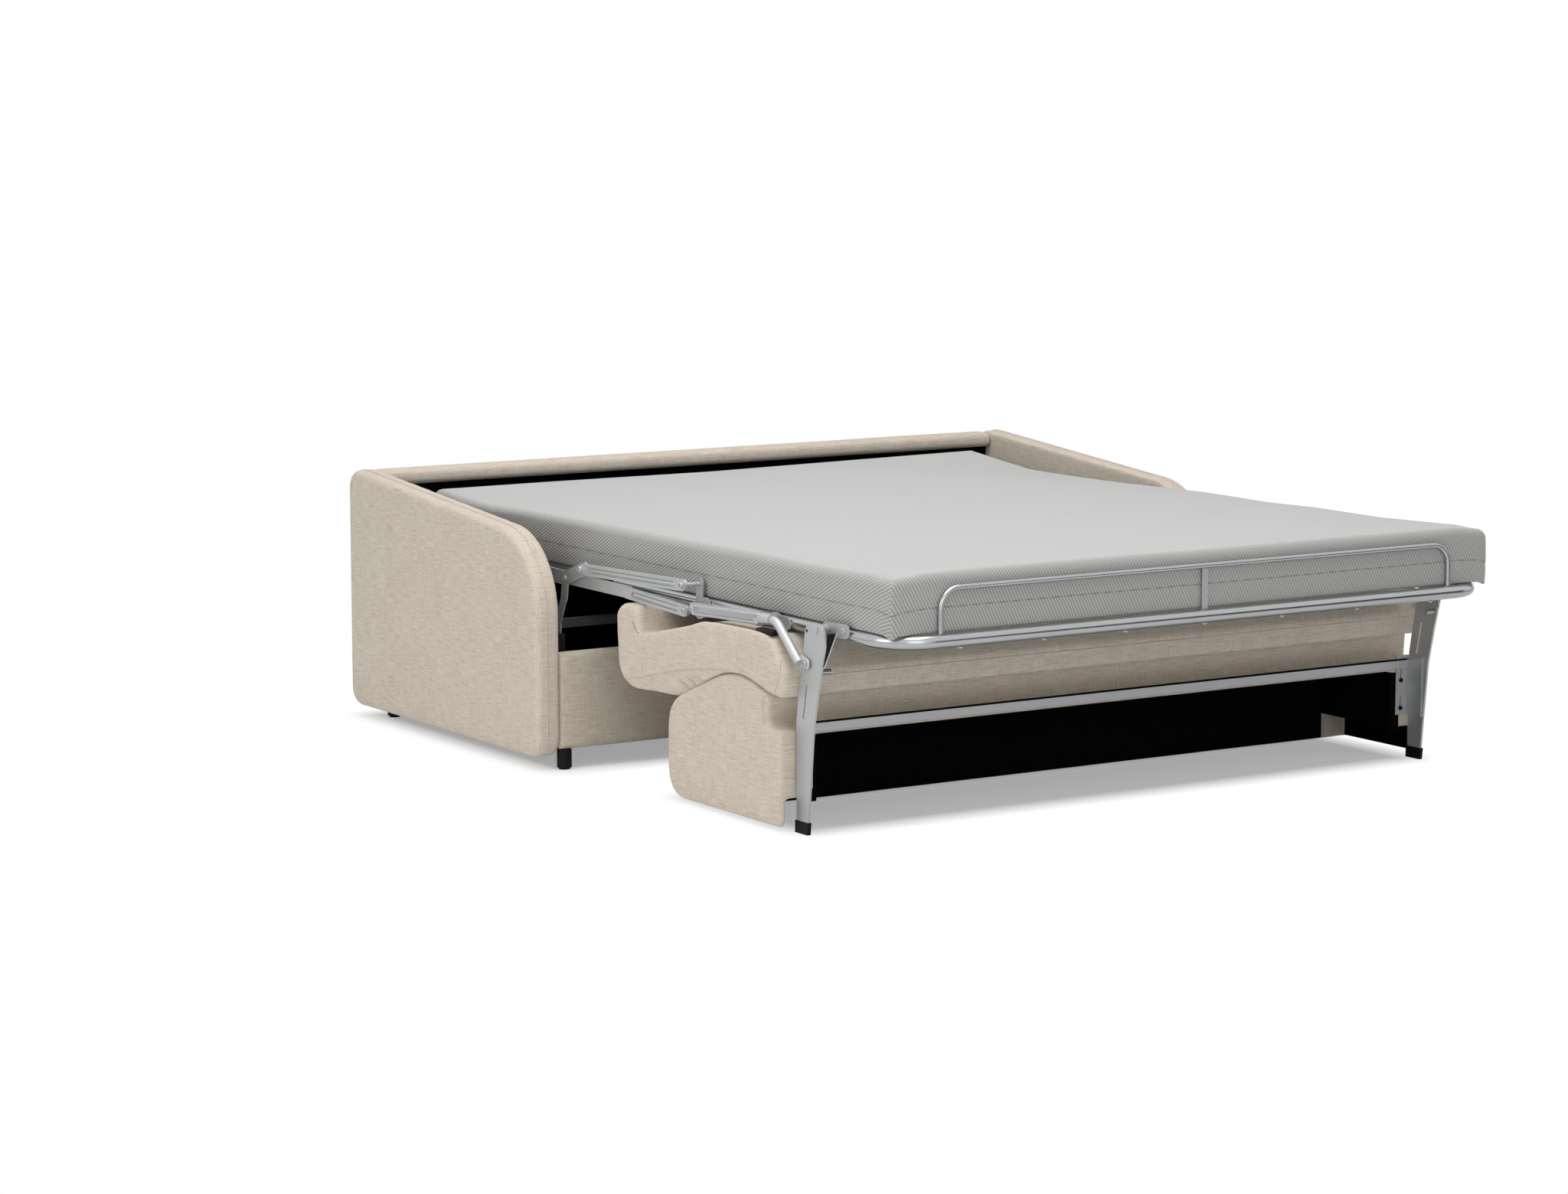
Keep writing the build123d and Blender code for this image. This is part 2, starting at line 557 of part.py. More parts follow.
BRACKET_FRONT = (LEG_PIVOT[0] - 69, LEG_PIVOT[1] + 2)
for name, side in SIDES:
    with BuildPart() as foot_lug:
        with BuildSketch(layer(side, LUG_IN)):
            strip(side, FOOT_PIVOT, (FOOT_PIVOT[0] - LUG_REACH, BED_LEVEL), LINK_WIDTH)
            disc(side, FOOT_PIVOT, PIN_RADIUS + RUNNING, Mode.SUBTRACT)
        extrude(amount=PLATE)
    export(foot_lug, f"foot_lug_{name}")

    with BuildPart() as leg_bracket:
        with BuildSketch(layer(side, LUG_IN)):
            strip(side, LEG_PIVOT, BRACKET_FRONT, LINK_WIDTH + 4)
        extrude(amount=PLATE)
        with BuildSketch(layer(side, LUG_OUT)):
            disc(side, LEG_PIVOT, PIN_HEAD)
        extrude(amount=LEG_IN - RUNNING - LUG_OUT)
        with BuildSketch(layer(side, LEG_IN - RUNNING)):
            disc(side, LEG_PIVOT, PIN_RADIUS)
        extrude(amount=LEG_THICK + 2 * RUNNING)
        with BuildSketch(layer(side, LEG_OUT + RUNNING)):
            disc(side, LEG_PIVOT, PIN_HEAD)
        extrude(amount=PIN_HEAD_THICK)
        with BuildSketch(layer(side, LUG_OUT)):
            disc(side, BRACKET_FRONT, PIN_RADIUS)
        extrude(amount=PIN_HEAD_THICK)
    export(leg_bracket, f"leg_bracket_{name}")

# Legs: curved and tapered plates with a long slot, on plastic caps
LEG_TOP = BED_LEVEL + 21
LEG_FOOT = 4.0
LEG_OUTLINE = [(254, LEG_FOOT), (296, LEG_FOOT), (297, 238), (286, 305), (270, 380), (263, LEG_TOP),
               (197, LEG_TOP), (188, 412), (214, 312), (233, 225)]
LEG_ROUNDS = [0, 0, 60, 200, 100, 28, 28, 60, 200, 200]
LEG_SLOT = ((257, 316), (270, 246))
SLOT_WIDTH = 5.0
BRACKET_BOTTOM = 100.0
BACK_FACE = FOOT_LINE + 303
BRACKET_BACK = BACK_FACE
CROSS_BAR_BOTTOM = 209.0
FLANGE_IN = LEG_IN - FLANGE_WIDTH
KEYHOLES = (16.0, 81.0)
for name, side in SIDES:
    with BuildPart() as leg:
        with BuildSketch(layer(side, LEG_IN)):
            outline([flat(side, p) for p in from_foot(LEG_OUTLINE)], LEG_ROUNDS)
            slot_start, slot_end = from_foot(LEG_SLOT)
            with BuildSketch(mode=Mode.PRIVATE) as slot:
                strip(side, slot_start, slot_end, SLOT_WIDTH)
            add(slot.sketch, mode=Mode.SUBTRACT)
            disc(side, LEG_PIVOT, PIN_RADIUS + RUNNING, Mode.SUBTRACT)
        extrude(amount=LEG_THICK)
        foot, head = Vector(0, *GUSSET_FOOT), Vector(0, *GUSSET_HEAD)
        rise = head - foot
        inward = Vector(-side, 0, 0)
        seat = foot + Vector(side * LEG_IN, 0, 0)
        with BuildSketch(Plane(origin=seat, x_dir=inward, z_dir=inward.cross(rise))):
            Polygon((0, 0), (0, rise.length), (GUSSET_DEPTH, rise.length), align=None)
        extrude(amount=side * GUSSET_THICK)
    export(leg, f"leg_{name}")

    with BuildPart() as leg_cap:
        with BuildSketch(layer(side, LEG_IN - LEG_CAP_WALL)):
            cap = [(252, 0), (299, 0), (299, LEG_CAP_HEIGHT), (249, LEG_CAP_HEIGHT)]
            Polygon(*[flat(side, p) for p in from_foot(cap)], align=None)
        extrude(amount=LEG_THICK + 2 * LEG_CAP_WALL)
        with BuildSketch(layer(side, LEG_IN)):
            outline([flat(side, p) for p in from_foot(LEG_OUTLINE)], LEG_ROUNDS)
        extrude(amount=LEG_THICK, mode=Mode.SUBTRACT)
    export(leg_cap, f"leg_cap_{name}")

    with BuildPart() as keyhole_bracket:
        low, high = BRACKET_BOTTOM, BRACKET_BOTTOM + BRACKET_HEIGHT
        across = sorted((side * FLANGE_IN, side * LEG_IN))
        box((across[0], BRACKET_BACK - PLATE, low), (across[1], BRACKET_BACK, high))
        across = sorted((side * (LEG_IN - PLATE), side * LEG_IN))
        box((across[0], BRACKET_BACK - BRACKET_DEPTH, low), (across[1], BRACKET_BACK, high))
        middle = side * (FLANGE_IN + KEYHOLE_INSET)
        with BuildSketch(Plane.XZ.offset(-BRACKET_BACK)):
            for z in (low + level for level in KEYHOLES):
                with Locations((middle, z + KEYHOLE_TRAVEL)):
                    Circle(KEYHOLE)
                with Locations((middle, z + KEYHOLE_TRAVEL / 2)):
                    SlotCenterToCenter(KEYHOLE_TRAVEL, KEYHOLE_SLOT, rotation=90)
        extrude(amount=PLATE, mode=Mode.SUBTRACT)
    export(keyhole_bracket, f"keyhole_bracket_{name}")

    with BuildPart() as stop_pin:
        with BuildSketch(layer(side, LEG_IN - STOP_PIN_LENGTH)):
            disc(side, STOP_PIN, PIN_RADIUS)
        extrude(amount=STOP_PIN_LENGTH)
    export(stop_pin, f"stop_pin_{name}")

with BuildPart() as cross_bar:
    reach = LEG_IN - PLATE - SEAM_GAP
    box((-reach, BRACKET_BACK - PLATE - CROSS_BAR_THICK, CROSS_BAR_BOTTOM),
        (reach, BRACKET_BACK - PLATE, CROSS_BAR_BOTTOM + CROSS_BAR_HEIGHT))
export(cross_bar, "cross_bar")

# Backrest: a padded block, hollow towards the foot and the floor, with its lining
BACK_TOP = [(349, 287), (494, 326), (758, 215)]
BACK_OUTLINE = [(303, BACK_CLEARANCE), (303, 215), (358, 218), *BACK_TOP, (758, BACK_CLEARANCE)]
CROWN_ROUND = 248.0
BACK_ROUNDS = [8, 12, 14, 12, CROWN_ROUND, 45, 60]
CAVITY_REAR = BACK_FACE + CAVITY_DEPTH
CAVITY_HALF = SOFT_HALF - BACK_WALL
with BuildPart() as backrest:
    with BuildSketch(Plane.YZ.offset(-SOFT_HALF)):
        outline(from_foot(BACK_OUTLINE), BACK_ROUNDS)
    extrude(amount=SOFT_WIDTH)
    fillet(backrest.faces().sort_by(Axis.X)[0].edges(), BACK_ROUND / 2)
    fillet(backrest.faces().sort_by(Axis.X)[-1].edges(), BACK_ROUND / 2)
    with BuildSketch(Plane.XY):
        with Locations((0, (BACK_FACE + CAVITY_REAR) / 2 - 10)):
            Rectangle(2 * CAVITY_HALF, CAVITY_DEPTH + 20)
    extrude(amount=CAVITY_TOP, mode=Mode.SUBTRACT)
    with BuildSketch(Plane.XY):
        with Locations((0, (BACK_FACE + CAVITY_REAR) / 2 - 10)):
            Rectangle(2 * (SOFT_HALF - BACK_CHEEK), CAVITY_DEPTH + 20)
    extrude(amount=CHEEK_CLEARANCE, mode=Mode.SUBTRACT)
export(backrest, "backrest")

LINING_INNER = CAVITY_HALF - LINING_THICK
LINING_SETBACK = 12.0
with BuildPart() as backrest_lining:
    low = BACK_CLEARANCE + 4
    reach = CAVITY_HALF - SEAM_GAP
    inner_rear, inner_top = CAVITY_REAR - SEAM_GAP, CAVITY_TOP - SEAM_GAP
    box((-reach, CAVITY_REAR - LINING_THICK, low), (reach, inner_rear, inner_top))
    box((-reach, BACK_FACE + LINING_SETBACK, CAVITY_TOP - LINING_THICK), (reach, inner_rear, inner_top))
    for side in (-1, 1):
        across = sorted((side * LINING_INNER, side * reach))
        box((across[0], BACK_FACE + LINING_SETBACK, CHEEK_CLEARANCE + SEAM_GAP),
            (across[1], inner_rear, inner_top))
export(backrest_lining, "backrest_lining")

# Seat cushion: turned over, its crown hanging on the backrest's top, with a raised lip at its front edge
SEAT_TOE = 352.0
SEAT_HEEL = 704.0
crown_line, crown_level = BACK_TOP[1]


def on_back(line, end):
    """A point of the seat's underside, on the straight of the backrest's top from its crown to one end."""
    slope = (end[1] - crown_level) / (end[0] - crown_line)
    return (line, crown_level + slope * (line - crown_line) + NEST_GAP)


SEAT_OUTLINE = [(296, 284), (291, 356), (347, 411), (490, 412), (612, 407), (877, 350), (896, 409),
                (955, 409.5), (984, 392), (975, 230), on_back(SEAT_HEEL, BACK_TOP[2]),
                (crown_line, crown_level + NEST_GAP), on_back(SEAT_TOE, BACK_TOP[0])]
SEAT_ROUNDS = [16, 25, 40, 150, 200, 14, 15, 20, 30, 55, 40, CROWN_ROUND, 60]
with BuildPart() as seat_cushion:
    with BuildSketch(Plane.YZ.offset(-SOFT_HALF)):
        outline(from_foot(SEAT_OUTLINE), SEAT_ROUNDS)
    extrude(amount=SOFT_WIDTH)
    for end_face in (seat_cushion.faces().sort_by(Axis.X)[0], seat_cushion.faces().sort_by(Axis.X)[-1]):
        fillet(end_face.edges(), SEAT_ROUND)
export(seat_cushion, "seat_cushion")
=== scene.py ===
"""Dresses the opened sofa bed: linen upholstery, a ribbed mattress, satin steel, a plain studio and its camera.

Lengths are in metres, in the frame of the solids: X across the bed, Y from the foot end to the back, Z up.
"""

from __future__ import annotations

import logging
import math
from dataclasses import dataclass, field
from enum import Enum
from typing import Any, Callable, Iterable, Mapping, Sequence, Union

import bpy
import numpy as np
from mathutils import Matrix, Vector, noise
from mathutils.bvhtree import BVHTree

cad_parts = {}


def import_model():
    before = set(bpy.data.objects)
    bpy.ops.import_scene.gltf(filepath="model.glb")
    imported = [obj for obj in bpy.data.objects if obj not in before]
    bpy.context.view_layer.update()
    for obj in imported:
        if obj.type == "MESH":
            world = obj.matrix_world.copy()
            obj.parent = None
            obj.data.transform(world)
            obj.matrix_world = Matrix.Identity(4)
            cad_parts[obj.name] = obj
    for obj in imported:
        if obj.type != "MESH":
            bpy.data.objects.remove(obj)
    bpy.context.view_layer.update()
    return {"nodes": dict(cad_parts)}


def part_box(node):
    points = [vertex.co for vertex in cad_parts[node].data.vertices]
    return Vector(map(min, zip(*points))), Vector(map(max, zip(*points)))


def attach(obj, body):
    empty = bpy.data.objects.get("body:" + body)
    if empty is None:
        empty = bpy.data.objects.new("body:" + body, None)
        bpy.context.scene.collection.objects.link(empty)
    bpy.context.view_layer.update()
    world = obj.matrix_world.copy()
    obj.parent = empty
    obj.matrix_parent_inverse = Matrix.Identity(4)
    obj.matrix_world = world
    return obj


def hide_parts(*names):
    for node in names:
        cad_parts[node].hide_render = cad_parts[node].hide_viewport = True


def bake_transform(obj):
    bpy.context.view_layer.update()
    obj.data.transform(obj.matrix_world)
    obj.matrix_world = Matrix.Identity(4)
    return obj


LOG = logging.getLogger("sofa_bed")
FOOT_LINE = -1.055
CLOTH_MAP = "cloth"
SIDES = {-1.0: "left", 1.0: "right"}
MM = 1000
FACING = 0.9
CRISP = math.radians(35)
SEAM_LIFT = 0.15

Point2 = tuple[float, float]
Point3 = tuple[float, float, float]
Colour = tuple[float, float, float]


class Slot(Enum):
    """Material slot names, handed to the joining of some pieces, which doesn't use them."""

    UPHOLSTERY = "upholstery"
    LINING = "lining"
    MATTRESS = "mattress"
    BLACK_PLASTIC = "black_plastic"
    STEEL = "steel"


class Body(Enum):
    """The bodies that pieces ride on."""

    BASE = "base"
    MIDDLE = "middle"
    FOOT = "foot"
    BACK = "back"
    LEG_RODS = "leg_rods"
    REAR_BARS = "rear_bars"


class Wire:
    """A node's output that takes part in arithmetic, adding Math nodes as it does."""

    def __init__(self, graph: "Graph", socket: bpy.types.NodeSocket) -> None:
        """Wraps a socket.

        Args:
            graph: The graph that the socket belongs to.
            socket: The output socket.
        """
        self.graph = graph
        self.socket = socket

    def __add__(self, other: "Value") -> "Wire":
        """Sum."""
        return self.graph.math("ADD", self, other)

    def __radd__(self, other: float) -> "Wire":
        """Sum, with a number first."""
        return self.graph.math("ADD", other, self)

    def __sub__(self, other: "Value") -> "Wire":
        """Difference."""
        return self.graph.math("SUBTRACT", self, other)

    def __rsub__(self, other: float) -> "Wire":
        """Difference, with a number first."""
        return self.graph.math("SUBTRACT", other, self)

    def __mul__(self, other: "Value") -> "Wire":
        """Product."""
        return self.graph.math("MULTIPLY", self, other)

    def __rmul__(self, other: float) -> "Wire":
        """Product, with a number first."""
        return self.graph.math("MULTIPLY", other, self)

    def __truediv__(self, other: "Value") -> "Wire":
        """Quotient."""
        return self.graph.math("DIVIDE", self, other)

    def sine(self) -> "Wire":
        """Sine of a value in radians."""
        return self.graph.math("SINE", self)

    def clamped(self) -> "Wire":
        """The value held between 0 and 1."""
        return self.graph.math("MINIMUM", self.graph.math("MAXIMUM", self, 0.0), 1.0)

    def magnitude(self) -> "Wire":
        """The value without its sign."""
        return self.graph.math("ABSOLUTE", self)


Value = Union[Wire, float]


class Graph:
    """One material's or world's node graph."""

    def __init__(self, tree: bpy.types.NodeTree, material: bpy.types.Material | None = None) -> None:
        """Starts with an empty tree.

        Args:
            tree: The tree to fill.
            material: The material that it belongs to, if it does.
        """
        self.tree = tree
        self.material = material
        tree.nodes.clear()

    @classmethod
    def of_material(cls, name: str) -> "Graph":
        """Starts a new material.

        Args:
            name: The material's name.

        Returns:
            Its graph.
        """
        material = bpy.data.materials.new(name)
        material.use_nodes = True
        return cls(material.node_tree, material)

    def node(
        self, kind: str, settings: Mapping[str, Any] | None = None, inputs: Mapping[Any, Any] | None = None
    ) -> bpy.types.Node:
        """Adds a node.

        Args:
            kind: The node's type name.
            settings: Properties to set first; "stops" fills a colour ramp.
            inputs: Socket names or indices with a number, a colour or a Wire.

        Returns:
            The new node.
        """
        made = self.tree.nodes.new(kind)
        for key, value in (settings or {}).items():
            if key == "stops":
                self._fill_ramp(made, value)
            else:
                setattr(made, key, value)
        for key, value in (inputs or {}).items():
            if isinstance(value, Wire):
                self.tree.links.new(value.socket, made.inputs[key])
            else:
                made.inputs[key].default_value = value
        return made

    @staticmethod
    def _fill_ramp(ramp: bpy.types.Node, stops: Sequence[tuple[float, Colour]]) -> None:
        """Sets a colour ramp's stops.

        Args:
            ramp: The ramp's node.
            stops: Pairs of place and colour, in order.
        """
        elements = ramp.color_ramp.elements
        while len(elements) < len(stops):
            elements.new(1.0)
        for element, (place, colour) in zip(elements, stops):
            element.position = place
            element.color = (*colour, 1.0)

    def wire(self, node: bpy.types.Node, output: Any = 0) -> Wire:
        """A node's output as a Wire."""
        return Wire(self, node.outputs[output])

    def math(self, operation: str, *values: Value) -> Wire:
        """Adds a Math node.

        Args:
            operation: The node's operation.
            values: Its inputs, in order.

        Returns:
            The result.
        """
        return self.wire(self.node("ShaderNodeMath", {"operation": operation}, dict(enumerate(values))))

    def object_coords(self) -> Wire:
        """The piece's own coordinates, in metres."""
        return self.wire(self.node("ShaderNodeTexCoord"), "Object")

    def cloth_coords(self) -> Wire:
        """The laid-out cloth's coordinates, in metres."""
        return self.wire(self.node("ShaderNodeUVMap", {"uv_map": CLOTH_MAP}))

    def stretched(self, coords: Wire, scale: Point3) -> Wire:
        """Coordinates with each axis times its own number."""
        return self.wire(self.node("ShaderNodeVectorMath", {"operation": "MULTIPLY"}, {0: coords, 1: scale}))

    def axes(self, coords: Wire) -> tuple[Wire, Wire, Wire]:
        """A vector's three parts."""
        split = self.node("ShaderNodeSeparateXYZ", None, {0: coords})
        return self.wire(split, 0), self.wire(split, 1), self.wire(split, 2)

    def noise(self, coords: Wire, scale: float = 1.0, detail: float = 2.0, roughness: float = 0.5) -> Wire:
        """A cloudy value between 0 and 1.

        Args:
            coords: Where it is read.
            scale: Clouds per unit.
            detail: Octaves.
            roughness: Weight of the finer octaves.

        Returns:
            The value.
        """
        inputs = {"Vector": coords, "Scale": scale, "Detail": detail, "Roughness": roughness}
        return self.wire(self.node("ShaderNodeTexNoise", None, inputs), "Fac")

    def attribute(self, name: str) -> Wire:
        """A number stored on the mesh."""
        return self.wire(self.node("ShaderNodeAttribute", {"attribute_name": name}), "Fac")

    def ramp(self, value: Wire, stops: Sequence[tuple[float, Colour]]) -> Wire:
        """A colour picked by a value."""
        return self.wire(self.node("ShaderNodeValToRGB", {"stops": stops}, {0: value}))

    def mix(self, share: Value, first: Any, second: Any) -> Wire:
        """A blend of two colours.

        Args:
            share: 0 gives the first, 1 the second.
            first: A colour or a Wire.
            second: A colour or a Wire.

        Returns:
            The blended colour.
        """
        first, second = (c if isinstance(c, Wire) else (*c, 1.0) for c in (first, second))
        inputs = {0: share, 6: first, 7: second}
        return self.wire(self.node("ShaderNodeMix", {"data_type": "RGBA"}, inputs), 2)

    def bump(self, height: Wire, strength: float, distance: float) -> Wire:
        """A surface relief.

        Args:
            height: The relief, 0 to 1.
            strength: How far it counts.
            distance: Its depth in metres.

        Returns:
            The bent normal.
        """
        inputs = {"Height": height, "Strength": strength, "Distance": distance}
        return self.wire(self.node("ShaderNodeBump", None, inputs))

    def surface(self, **inputs: Any) -> bpy.types.Material:
        """Ends the graph in one principled surface.

        Args:
            inputs: The surface's sockets, with _ for a space in their names.

        Returns:
            The finished material.
        """
        named = {key.replace("_", " "): value for key, value in inputs.items()}
        shader = self.wire(self.node("ShaderNodeBsdfPrincipled", None, named))
        self.node("ShaderNodeOutputMaterial", None, {"Surface": shader})
        return self.material


def shaded(colour: Colour, factor: float) -> Colour:
    """A colour made lighter or darker."""
    return tuple(min(1.0, c * factor) for c in colour)


@dataclass(frozen=True)
class Linen:
    """Plain-woven upholstery with thick and thin yarns."""

    name: str
    dark: Colour = (0.475, 0.395, 0.310)
    middle: Colour = (0.635, 0.555, 0.465)
    light: Colour = (0.745, 0.675, 0.595)
    yarn: float = 0.0017
    slub_length: float = 24.0
    slub_width: float = 400.0

    def material(self) -> bpy.types.Material:
        """Builds the material.

        Returns:
            The linen.
        """
        g = Graph.of_material(self.name)
        cloth = g.cloth_coords()
        across, along, _ = g.axes(cloth)
        weft = g.noise(g.stretched(cloth, (self.slub_length, self.slub_width, 1.0)), detail=3.0, roughness=0.6)
        warp = g.noise(g.stretched(cloth, (self.slub_width, self.slub_length, 1.0)), detail=3.0, roughness=0.6)
        patches = g.noise(cloth, scale=9.0, detail=3.0)
        turn = math.tau / (2 * self.yarn)
        weave = (across * turn).sine() * (along * turn).sine()
        tone = weft * 0.56 + warp * 0.36 + patches * 0.08 + weave * 0.03
        colour = g.ramp(tone, [(0.34, self.dark), (0.5, self.middle), (0.66, self.light)])
        relief = g.bump(weave * 0.5 + weft * 0.8 + warp * 0.6, 0.5, 0.0007)
        return g.surface(Base_Color=colour, Roughness=0.93, Normal=relief, Sheen_Weight=0.12, Sheen_Roughness=0.5)


@dataclass(frozen=True)
class RibbedKnit:
    """The mattress cover: smooth knit on top, slanting ribs round the border with painted shade in their darker
    grooves, and a sewn line below its middle.
    """

    name: str
    top: Colour = (0.50, 0.50, 0.497)
    rib: Colour = (0.52, 0.517, 0.50)
    groove_shade: Colour = (0.29, 0.287, 0.275)
    seam: Colour = (0.10, 0.10, 0.097)
    seam_height: float = 0.42
    seam_half: float = 0.016

    def material(self) -> bpy.types.Material:
        """Builds the material.

        Returns:
            The knit.
        """
        g = Graph.of_material(self.name)
        place = g.object_coords()
        turns, border, height = g.attribute("rib_turns"), g.attribute("border"), g.attribute("height_share")
        grain = g.noise(place, scale=260.0, detail=3.0, roughness=0.65)
        wander = g.noise(place, scale=14.0, detail=1.0)
        rib = (turns * math.tau + (wander - 0.5) * 0.7).sine() * 0.5 + 0.5
        stitches = (turns * (math.tau * 0.23)).sine() * 0.35 + 0.65
        seam = (1.0 - (height - self.seam_height).magnitude() / self.seam_half).clamped() * border
        # The grooves between the ribs take the darker groove colour: painted shade in the grooves, besides the bump.
        ribbed = g.mix(rib * 0.85 + grain * 0.15, self.groove_shade, self.rib)
        clouds = g.noise(place, scale=3.0, detail=2.0)
        flat = g.mix(grain * 0.5 + clouds * 0.35, shaded(self.top, 0.94), shaded(self.top, 1.06))
        colour = g.mix(seam * stitches * 0.8, g.mix(border, flat, ribbed), self.seam)
        fine = g.noise(place, scale=900.0, detail=1.0)
        relief = g.bump(rib * border + grain * 0.2 + fine * 0.15 - seam * 0.8, 0.7, 0.0014)
        return g.surface(Base_Color=colour, Roughness=0.9, Normal=relief, Sheen_Weight=0.1, Sheen_Roughness=0.5)


@dataclass(frozen=True)
class SatinSteel:
    """Zinc-grey steel with a fine satin grain."""

    name: str
    base: Colour = (0.490, 0.501, 0.507)
    metallic: float = 0.55
    roughness: float = 0.44
    relief: float = 0.06

    def material(self) -> bpy.types.Material:
        """Builds the material.

        Returns:
            The steel.
        """
        g = Graph.of_material(self.name)
        place = g.object_coords()
        grain = g.noise(place, scale=420.0, detail=3.0)
        clouds = g.noise(place, scale=22.0, detail=3.0)
        colour = g.mix(clouds * 0.7 + grain * 0.3, shaded(self.base, 0.94), shaded(self.base, 1.06))
        rough = self.roughness + (grain - 0.5) * 0.06 + (clouds - 0.5) * 0.08
        return g.surface(Base_Color=colour, Metallic=self.metallic, Roughness=rough,
                         Normal=g.bump(grain, self.relief, 0.0003))


@dataclass(frozen=True)
class Matte:
    """A dull dark finish with a fine grain, for plastic, felt, belts and stained wood."""

    name: str
    base: Colour
    roughness: float = 0.6
    grain_scale: float = 500.0
    grain_stretch: Point3 = (1.0, 1.0, 1.0)
    relief: float = 0.25
    shine: float = 0.3

    def material(self) -> bpy.types.Material:
        """Builds the material.

        Returns:
            The finish.
        """
        g = Graph.of_material(self.name)
        place = g.stretched(g.object_coords(), self.grain_stretch)
        grain = g.noise(place, scale=self.grain_scale, detail=3.0, roughness=0.6)
        colour = g.mix(grain, shaded(self.base, 0.75), shaded(self.base, 1.3))
        rough = self.roughness + (grain - 0.5) * 0.16
        return g.surface(Base_Color=colour, Roughness=rough, Specular_IOR_Level=self.shine,
                         Normal=g.bump(grain, self.relief, 0.0005))


class Finishes:
    """Every finish of the object, made once."""

    def __init__(self) -> None:
        """Makes the materials."""
        self.linen = Linen("slub_linen").material()
        # Crease linen: darker linen for the thin lines along the seat's notch crease and gathers, which is painted
        # shade in the creases.
        self.crease = Linen("painted_crease_shade_linen", (0.17, 0.14, 0.11), (0.25, 0.21, 0.17), (0.33, 0.28, 0.23)).material()
        self.knit = RibbedKnit("ribbed_knit").material()
        self.steel = SatinSteel("satin_steel").material()
        self.tube_steel = SatinSteel("bright_steel", (0.44, 0.452, 0.46), 1.0, 0.23, 0.02).material()
        # The cross tube's steel is made dark for the shade that it lies in under the bed: painted shade.
        self.shade_darkened_steel = SatinSteel("shade_darkened_steel", (0.10, 0.106, 0.11), 0.6, 0.5).material()
        self.lining = Matte("black_felt", (0.0030, 0.0030, 0.0029), 0.95, 700.0, shine=0.03).material()
        self.plastic = Matte("black_plastic", (0.0045, 0.0045, 0.0045), 0.5, 900.0, relief=0.15, shine=0.16).material()
        self.belt = Matte("woven_belt", (0.03, 0.03, 0.03), 0.85, 600.0, (1.0, 4.0, 1.0)).material()
        self.timber = Matte("stained_timber", (0.012, 0.011, 0.010), 0.7, 60.0, (4.0, 0.4, 4.0)).material()


def rounded_outline(points: Sequence[Point2], radii: Sequence[float], step: float) -> np.ndarray:
    """Samples a closed outline with a round at each corner.

    Args:
        points: The corners, in order.
        radii: One radius for each corner.
        step: The longest distance between samples.

    Returns:
        The samples, one row each.
    """
    runs: list[np.ndarray] = []
    count = len(points)
    for i, radius in enumerate(radii):
        corner = np.array(points[i])
        back, ahead = np.array(points[i - 1]) - corner, np.array(points[(i + 1) % count]) - corner
        back, ahead = back / np.linalg.norm(back), ahead / np.linalg.norm(ahead)
        half = math.acos(float(np.clip(back @ ahead, -1.0, 1.0))) / 2
        if radius < 1e-6 or half > 1.56:
            runs.append(corner[None])
            continue
        reach = radius / math.tan(half)
        middle = corner + (back + ahead) / np.linalg.norm(back + ahead) * (radius / math.sin(half))
        start, end = corner + back * reach - middle, corner + ahead * reach - middle
        first, last = math.atan2(start[1], start[0]), math.atan2(end[1], end[0])
        turn = (last - first + math.pi) % math.tau - math.pi
        pieces = max(3, int(abs(turn) * radius / step) + 1)
        angles = first + turn * np.linspace(0, 1, pieces + 1)
        runs.append(middle + radius * np.stack([np.cos(angles), np.sin(angles)], 1))
    corners = np.concatenate(runs)
    closed = np.concatenate([corners, corners[:1]])
    filled = []
    for a, b in zip(closed[:-1], closed[1:]):
        cuts = max(1, int(np.linalg.norm(b - a) / step + 0.5))
        filled.append(a + (b - a) * np.arange(cuts)[:, None] / cuts)
    return np.concatenate(filled)


def make_active(obj: bpy.types.Object) -> None:
    """Deselects everything and selects one object.

    Args:
        obj: The object.
    """
    bpy.ops.object.select_all(action="DESELECT")
    obj.select_set(True)
    bpy.context.view_layer.objects.active = obj


def apply_modifiers(obj: bpy.types.Object) -> None:
    """Applies an object's modifiers, in order.

    Args:
        obj: The object.
    """
    make_active(obj)
    for modifier in list(obj.modifiers):
        bpy.ops.object.modifier_apply(modifier=modifier.name)


def new_object(name: str, verts: Any, faces: Any) -> bpy.types.Object:
    """Makes a mesh object from corners and faces.

    Args:
        name: The object's name.
        verts: The corners.
        faces: The faces, as corner indices.

    Returns:
        The object, linked to the scene.
    """
    mesh = bpy.data.meshes.new(name)
    mesh.from_pydata([tuple(v) for v in verts], [], [tuple(f) for f in faces])
    obj = bpy.data.objects.new(name, mesh)
    bpy.context.scene.collection.objects.link(obj)
    return obj


def own_copy(proto: bpy.types.Object) -> bpy.types.Object:
    """Copies an object, mesh and all, and links the copy to the scene.

    Args:
        proto: The object.

    Returns:
        The copy.
    """
    made = proto.copy()
    made.data = proto.data.copy()
    bpy.context.scene.collection.objects.link(made)
    return made


def corners_of(obj: bpy.types.Object) -> np.ndarray:
    """Reads an object's vertices.

    Args:
        obj: The object.

    Returns:
        Their places, one row each.
    """
    flat = np.empty(len(obj.data.vertices) * 3)
    obj.data.vertices.foreach_get("co", flat)
    return flat.reshape(-1, 3)


def normals_of(obj: bpy.types.Object) -> np.ndarray:
    """An object's vertex normals, one row each."""
    return np.array([v.normal for v in obj.data.vertices])


